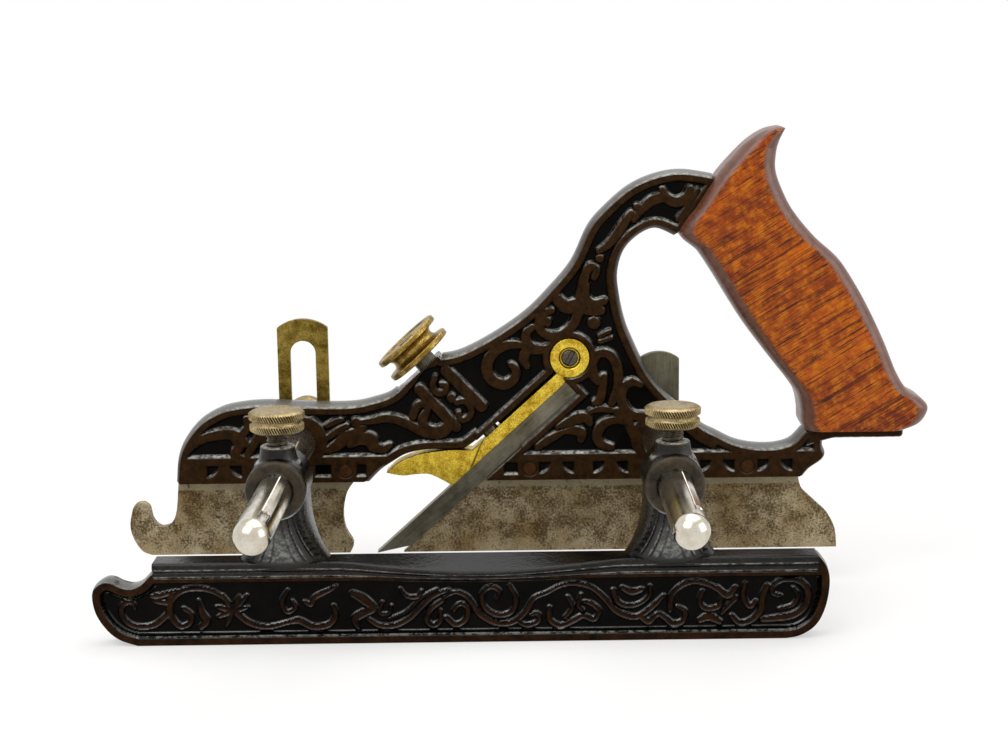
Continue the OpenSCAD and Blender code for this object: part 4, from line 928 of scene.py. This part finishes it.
def make_patina_steel():
    """Old mild steel with a brown speckled patina, lighter along a narrow band at the top:
    satin, warm grey, with dark pits."""
    made, add, where = new_material("patina_steel")
    height = add("SeparateXYZ", Vector=where, out="Z")
    clouds = add("TexNoise", Vector=where, Scale=per_mm(14), Detail=5, Roughness=0.65)
    stains = add("TexNoise", Vector=where, Scale=per_mm(6), Detail=5, Roughness=0.7)
    spots = add("TexNoise", Vector=where, Scale=per_mm(2.6), Detail=5, Roughness=0.75)
    specks = add("TexNoise", Vector=where, Scale=per_mm(0.8), Detail=5, Roughness=0.8)
    pits = add("MapRange", (spots, 0.6, 0.66))
    base = add("MixRGB", (add("MapRange", (clouds, 0.35, 0.65)), linear("#b0a384"), linear("#8c7650")))
    # Specks crowd together in stains, and thin out towards the sole
    speckled = add("Math", (specks, add("MapRange", (stains, 0.35, 0.65, -0.1, 0.1))))
    speckled = add("Math", (speckled, add("MapRange", (height, 0.0, 0.006, -0.07, 0.0))))
    base = add("MixRGB", (add("MapRange", (speckled, 0.42, 0.58, 0.0, 0.9)), base, linear("#46310f")))
    band = add("MapRange", (height, (SKATE_H - 3.6) * MM, (SKATE_H - 3.2) * MM))
    base = add("MixRGB", (add("Math", (band, 0.7), operation="MULTIPLY"), base, linear("#9a8f74")))
    colour = add("MixRGB", (add("Math", (pits, 0.75), operation="MULTIPLY"), base, linear("#2b1f10")))
    rough_skin = add("Bump", Height=specks, Distance=0.08 * MM, Strength=0.7)
    sunk = add("Math", (pits, -1.0), operation="MULTIPLY")
    surface = add("BsdfPrincipled", Base_Color=colour, Metallic=0.7,
        Roughness=add("MapRange", (specks, 0.3, 0.7, 0.42, 0.62)),
        Normal=add("Bump", Height=sunk, Distance=0.15 * MM, Strength=0.8, Normal=rough_skin))
    add("OutputMaterial", Surface=surface)
    return made


def make_steel(name, colour, dark, stretch, metallic=0.95):
    """Ground tool steel: fine straight scratches along the blade over grey metal, darker where it is
    handled. stretch is the angle that the scratches are turned by."""
    made, add, where = new_material(name)
    turned = add("Mapping", Vector=where, Rotation=(0, stretch, 0))
    drawn = add("Mapping", Vector=turned, Scale=(0.05, 1, 1))
    scratches = add("TexNoise", Vector=drawn, Scale=per_mm(0.5), Detail=3, Roughness=0.6)
    stains = add("TexNoise", Vector=where, Scale=per_mm(8), Detail=5, Roughness=0.65)
    base = add("MixRGB", (add("MapRange", (stains, 0.35, 0.7)), linear(colour), linear(dark)))
    tone = add("MixRGB", (add("MapRange", (scratches, 0.35, 0.65, 0.0, 0.14)), base, linear("#b0aca0")))
    surface = add("BsdfPrincipled", Base_Color=tone, Metallic=metallic,
        Roughness=add("MapRange", (scratches, 0.3, 0.7, 0.34, 0.46)),
        Normal=add("Bump", Height=scratches, Distance=0.01 * MM, Strength=0.4))
    add("OutputMaterial", Surface=surface)
    return made


def make_nickel():
    """Nickel plate, worn thin: mirror bright with warm dull clouds and hair scratches."""
    made, add, where = new_material("nickel_plate")
    clouds = add("TexNoise", Vector=where, Scale=per_mm(7), Detail=4, Roughness=0.6)
    marks = add("TexNoise", Vector=where, Scale=per_mm(0.7), Detail=3, Roughness=0.7)
    colour = add("MixRGB", (add("MapRange", (clouds, 0.4, 0.75)), linear("#d3cdbf"), linear("#b3a890")))
    colour = add("MixRGB", (add("MapRange", (marks, 0.6, 0.72, 0.0, 0.5)), colour, linear("#7d735e")))
    surface = add("BsdfPrincipled", Base_Color=colour, Metallic=1.0,
        Roughness=add("MapRange", (clouds, 0.3, 0.8, 0.16, 0.3)),
        Normal=add("Bump", Height=marks, Distance=0.01 * MM, Strength=0.4))
    add("OutputMaterial", Surface=surface)
    return made


def make_brass(name, bright, dull, grime, rough):
    """Brass with a hand worn surface: bright and dull brown in patches, with grime in its fine pores,
    and painted shade that darkens the grooves of its knurling nearly to black."""
    made, add, where = new_material(name)
    clouds = add("TexNoise", Vector=where, Scale=per_mm(4), Detail=6, Roughness=0.75)
    pores = add("TexNoise", Vector=where, Scale=per_mm(0.45), Detail=3, Roughness=0.7)
    groove = add("Attribute", attribute_name="groove", out="Fac")
    base = add("MixRGB", (add("MapRange", (clouds, 0.4, 0.62)), linear(bright), linear(dull)))
    colour = add("MixRGB", (add("MapRange", (pores, 0.48, 0.66, 0.0, 0.75)), base, linear(grime)))
    # Painted shade: the knurling's grooves darkened nearly to black
    colour = add("MixRGB", (add("MapRange", (groove, 0.25, 0.9, 0.0, 0.92)), colour, linear("#1d160b")))
    surface = add("BsdfPrincipled", Base_Color=colour, Metallic=1.0,
        Roughness=add("MapRange", (pores, 0.3, 0.7, rough, rough + 0.2)),
        Normal=add("Bump", Height=pores, Distance=0.05 * MM, Strength=0.6))
    add("OutputMaterial", Surface=surface)
    return made


def make_hardwood():
    """Varnished rosewood family hardwood: orange brown with dark streaks that run up to the right, fine
    pores along them, and painted shade and sheen on the rounded edges, which are darker purple brown and
    glossier."""
    made, add, where = new_material("varnished_hardwood")
    edge = add("Attribute", attribute_name="rounding", out="Fac")
    lean = add("Mapping", Vector=where, Rotation=(0, math.radians(31), 0))
    long = add("Mapping", Vector=lean, Scale=(0.025, 0.4, 1))
    wavy = add("Mapping", Vector=lean, Scale=(0.2, 0.5, 1))
    bend = add("TexNoise", Vector=wavy, Scale=per_mm(15), Detail=4, Roughness=0.55)
    mottle = add("TexNoise", Vector=where, Scale=per_mm(4), Detail=6, Roughness=0.75)
    streaks = add("TexNoise", Vector=long, Scale=per_mm(1.4), Detail=5, Roughness=0.7)
    pores = add("TexNoise", Vector=long, Scale=per_mm(0.42), Detail=3, Roughness=0.75)
    base = add("MixRGB", (add("MapRange", (bend, 0.35, 0.65)), linear("#b45606"), linear("#7c2f04")))
    for value, low, high, share, tone in ((mottle, 0.48, 0.62, 0.7, "#cc740e"),
            (mottle, 0.46, 0.36, 0.6, "#5e2203"), (streaks, 0.54, 0.62, 0.8, "#481803"),
            (pores, 0.53, 0.6, 0.9, "#220b03")):
        base = add("MixRGB", (add("MapRange", (value, low, high, 0.0, share)), base, linear(tone)))
    # Painted shade and sheen on the rounded edges: a darker purple brown colour, and more gloss
    edge_shade_mask = add("Math", (edge, add("Math", (mottle, 0.12), operation="MULTIPLY")))
    wear_and_edge_shade = add("MapRange", (edge_shade_mask, 0.08, 0.16))
    dark = add("MixRGB", (add("MapRange", (mottle, 0.35, 0.65)), linear("#6b4636"), linear("#38190e")))
    colour = add("MixRGB", (add("Math", (wear_and_edge_shade, 0.9), operation="MULTIPLY"), base, dark))
    surface = add("BsdfPrincipled", Base_Color=colour,
        Roughness=add("MapRange", (pores, 0.4, 0.7, 0.3, 0.42)),
        Specular_IOR_Level=add("MapRange", (wear_and_edge_shade, 0, 1, 0.2, 0.6)),
        Normal=add("Bump", Height=pores, Distance=0.05 * MM, Strength=0.5))
    add("OutputMaterial", Surface=surface)
    return made


japan = make_japan("japanned_iron", "#3a2510", "#1a1107", 0.7)
worn_japan = make_japan("worn_rivet_iron", "#4e3018", "#2a180a", 0.9, fixed_wear=1.0)
fence_japan = make_japan("japanned_fence", "#351e0c", "#120b05", 0.3, 0.4)
# Grey brown where worn, which on the bosses also stands in for painted sheen, and strong painted highlights
boss_japan = make_japan("sheeny_boss_iron", "#4a3f2e", "#1c160d", 0.4, 0.9, 0.22, 0.3)
patina = make_patina_steel()
blade_steel = make_steel("tool_steel", "#756f5f", "#48432f", BED)
plate_steel = make_steel("olive_steel", "#67624c", "#433e2b", math.pi / 2, 0.8)
screw_steel = make_steel("screw_steel", "#8d877a", "#5a5347", 0.0)
dark_steel = make_steel("dark_steel", "#5a5347", "#3a342a", 0.0)
nickel = make_nickel()
yellow_brass = make_brass("rubbed_brass", "#f6d850", "#b48c22", "#6a500e", 0.26)
pale_brass = make_brass("satin_brass", "#b3a178", "#8a774f", "#4a3c22", 0.34)
knob_brass = make_brass("knob_brass", "#b09450", "#7a6028", "#3f2e10", 0.26)
old_brass = make_brass("tarnished_brass", "#9c8440", "#5c4b19", "#302408", 0.26)
hardwood = make_hardwood()


def paint(piece, material):
    """Gives a piece one material."""
    piece.data.materials.clear()
    piece.data.materials.append(material)


def add_piece(piece, body, slot, material, *stands_for):
    """Gives a piece its material and its body, and lets it stand for CAD nodes. slot is not used."""
    paint(piece, material)
    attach(piece, body)
    if stands_for:
        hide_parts(*stands_for)


def soften(node, width, material):
    """Breaks a CAD node's sharp edges with a small bevel, and paints it."""
    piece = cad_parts[node]
    paint(piece, material)
    weld = piece.modifiers.new("weld", "WELD")
    weld.merge_threshold = 0.002 * MM
    edge = piece.modifiers.new("edge", "BEVEL")
    edge.width = width * MM
    edge.segments = 3
    edge.limit_method = "ANGLE"
    edge.angle_limit = math.radians(35)
    edge.harden_normals = True


# Build the castings
stock = make_stock() + [make_tang()]
for piece in stock:
    add_piece(piece, "stock", "japan", japan)
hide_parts("stock_casting")

fence = make_fence_panel() + [make_ledge()]
for n, x in enumerate(ROD_XS):
    fence.append(make_pedestal(f"pedestal_{n}", x))
    fence.append(make_boss(f"rod_boss_{n}", x))
    fence.append(make_neck(f"screw_neck_{n}", x))
for piece in fence:
    panel = piece.name in ("fence_front", "fence_back")
    add_piece(piece, "fence", "japan", fence_japan if panel else boss_japan)
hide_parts("fence_casting")

# Thumb screws of the fence
for word, x in (("front", ROD_XS[0]), ("rear", ROD_XS[1])):
    head = make_thumb_screw(f"{word}_screw_head", x)
    shank = make_thread(f"{word}_screw_thread", x, SCREW_Y, THREAD_R, ROD_Z + ROD_R + 0.1, THUMB_Z + 0.4)
    add_piece(head, f"{word}_thumb_screw", "satin_brass", pale_brass, f"{word}_fence_screw")
    add_piece(shank, f"{word}_thumb_screw", "satin_brass", dark_steel)

handle = make_handle()
add_piece(handle, "stock", "rosewood", hardwood, "handle")

add_piece(make_pivot_screw(), "stock", "bare_steel", dark_steel, "lever_pivot_screw")
add_piece(make_knob(), "knob", "satin_brass", knob_brass, "clamp_knob")
for n, x in enumerate(WOOD_SCREW_XS):
    add_piece(make_countersunk(f"wood_screw_{n}", x), "stock", "bare_steel", screw_steel)
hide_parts("handle_screws")

# Pieces that keep the construction's shape
for node, width, material in (("front_skate", 0.35, patina), ("rear_skate", 0.35, patina),
        ("skate_rivets", 0.1, worn_japan), ("cutter", 0.2, blade_steel), ("lever", 0.7, yellow_brass),
        ("clamp_stem", 0.2, dark_steel), ("front_rod", 0.1, nickel), ("rear_rod", 0.1, nickel),
        ("depth_stop", 0.3, old_brass), ("depth_stop_washer", 0.15, pale_brass),
        ("depth_stop_screw", 0.2, pale_brass), ("slitter", 0.3, plate_steel),
        ("slitter_washer", 0.15, pale_brass), ("slitter_screw", 0.2, pale_brass)):
    soften(node, width, material)


# Stage, lights and camera
def make_floor():
    """Plain white floor, level with the fence's lower edge. The camera sees it nearly white, with the
    object's soft shadow on it."""
    reach = 4.0
    mesh = bpy.data.meshes.new("floor")
    level = FENCE_LOW * MM - 0.0002
    corners = ((-reach, -reach), (reach, -reach), (reach, reach), (-reach, reach))
    mesh.from_pydata([(x, y, level) for x, y in corners], [], [(0, 1, 2, 3)])
    floor = bpy.data.objects.new("floor", mesh)
    bpy.context.scene.collection.objects.link(floor)
    made, add, where = new_material("white_floor")
    ray = add("LightPath", out=None)
    from_middle = add("VectorMath", (where,), operation="LENGTH", out="Value")
    far = add("MapRange", (from_middle, 0.16, 0.42, 0.5, 1.0))
    direct = add("Math", (ray["Is Camera Ray"], ray["Is Glossy Ray"]), operation="MAXIMUM")
    seen = add("Math", (direct, far), operation="MULTIPLY")
    matt = add("BsdfPrincipled", Base_Color=linear("#f2f1ee"), Roughness=0.9)
    glow = add("Emission", Color=linear("#ffffff"), Strength=1.0)
    add("OutputMaterial", Surface=add("MixShader", (seen, matt, glow)))
    paint(floor, made)


def make_world():
    """Even pale surroundings: white where they are seen or mirrored, softer as a light."""
    world = bpy.data.worlds.new("studio")
    bpy.context.scene.world = world
    world.use_nodes = True
    world.node_tree.nodes.clear()
    add = partial(add_node, world.node_tree)
    ray = add("LightPath", out=None)
    direct = add("Math", (ray["Is Camera Ray"], ray["Is Glossy Ray"]), operation="MAXIMUM")
    seen = add("Math", (direct, ray["Is Transmission Ray"]), operation="MAXIMUM")
    soft = add("Background", Color=linear("#ffffff"), Strength=0.45)
    white = add("Background", Color=linear("#ffffff"), Strength=1.0)
    add("OutputWorld", Surface=add("MixShader", (seen, soft, white)))


def add_lamp(name, place_at, look_at, size, watts):
    """Square lamp of a size in metres, turned towards a place."""
    lamp = bpy.data.lights.new(name, "AREA")
    lamp.size = size
    lamp.energy = watts
    holder = bpy.data.objects.new(name, lamp)
    bpy.context.scene.collection.objects.link(holder)
    holder.location = place_at
    turn = (np.array(look_at) - np.array(place_at)).tolist()
    holder.rotation_euler = Vector(turn).to_track_quat("-Z", "Y").to_euler()
    return holder


def make_camera():
    """Camera fitted to the photograph: its place, its turn and its lens come from 36 measured points."""
    data = bpy.data.cameras.new("camera")
    data.lens = 66.28
    data.sensor_width = 36
    data.clip_start, data.clip_end = 0.01, 50
    camera = bpy.data.objects.new("camera", data)
    camera.location = (0.0408, -0.651, 0.1833)
    camera.rotation_euler = [math.radians(v) for v in (79.553, 0.792, 0.175)]
    bpy.context.scene.collection.objects.link(camera)
    bpy.context.scene.camera = camera


make_floor()
make_world()
add_lamp("key", (-0.5, -0.7, 1.1), (0.04, -0.02, 0.06), 0.9, 9)
add_lamp("top", (0.2, 0.25, 1.2), (0.04, 0, 0.05), 1.2, 9)
add_lamp("side", (1.1, -0.4, 0.5), (0.04, 0, 0.06), 0.8, 4)
make_camera()
bpy.context.scene.view_settings.view_transform = "Standard"
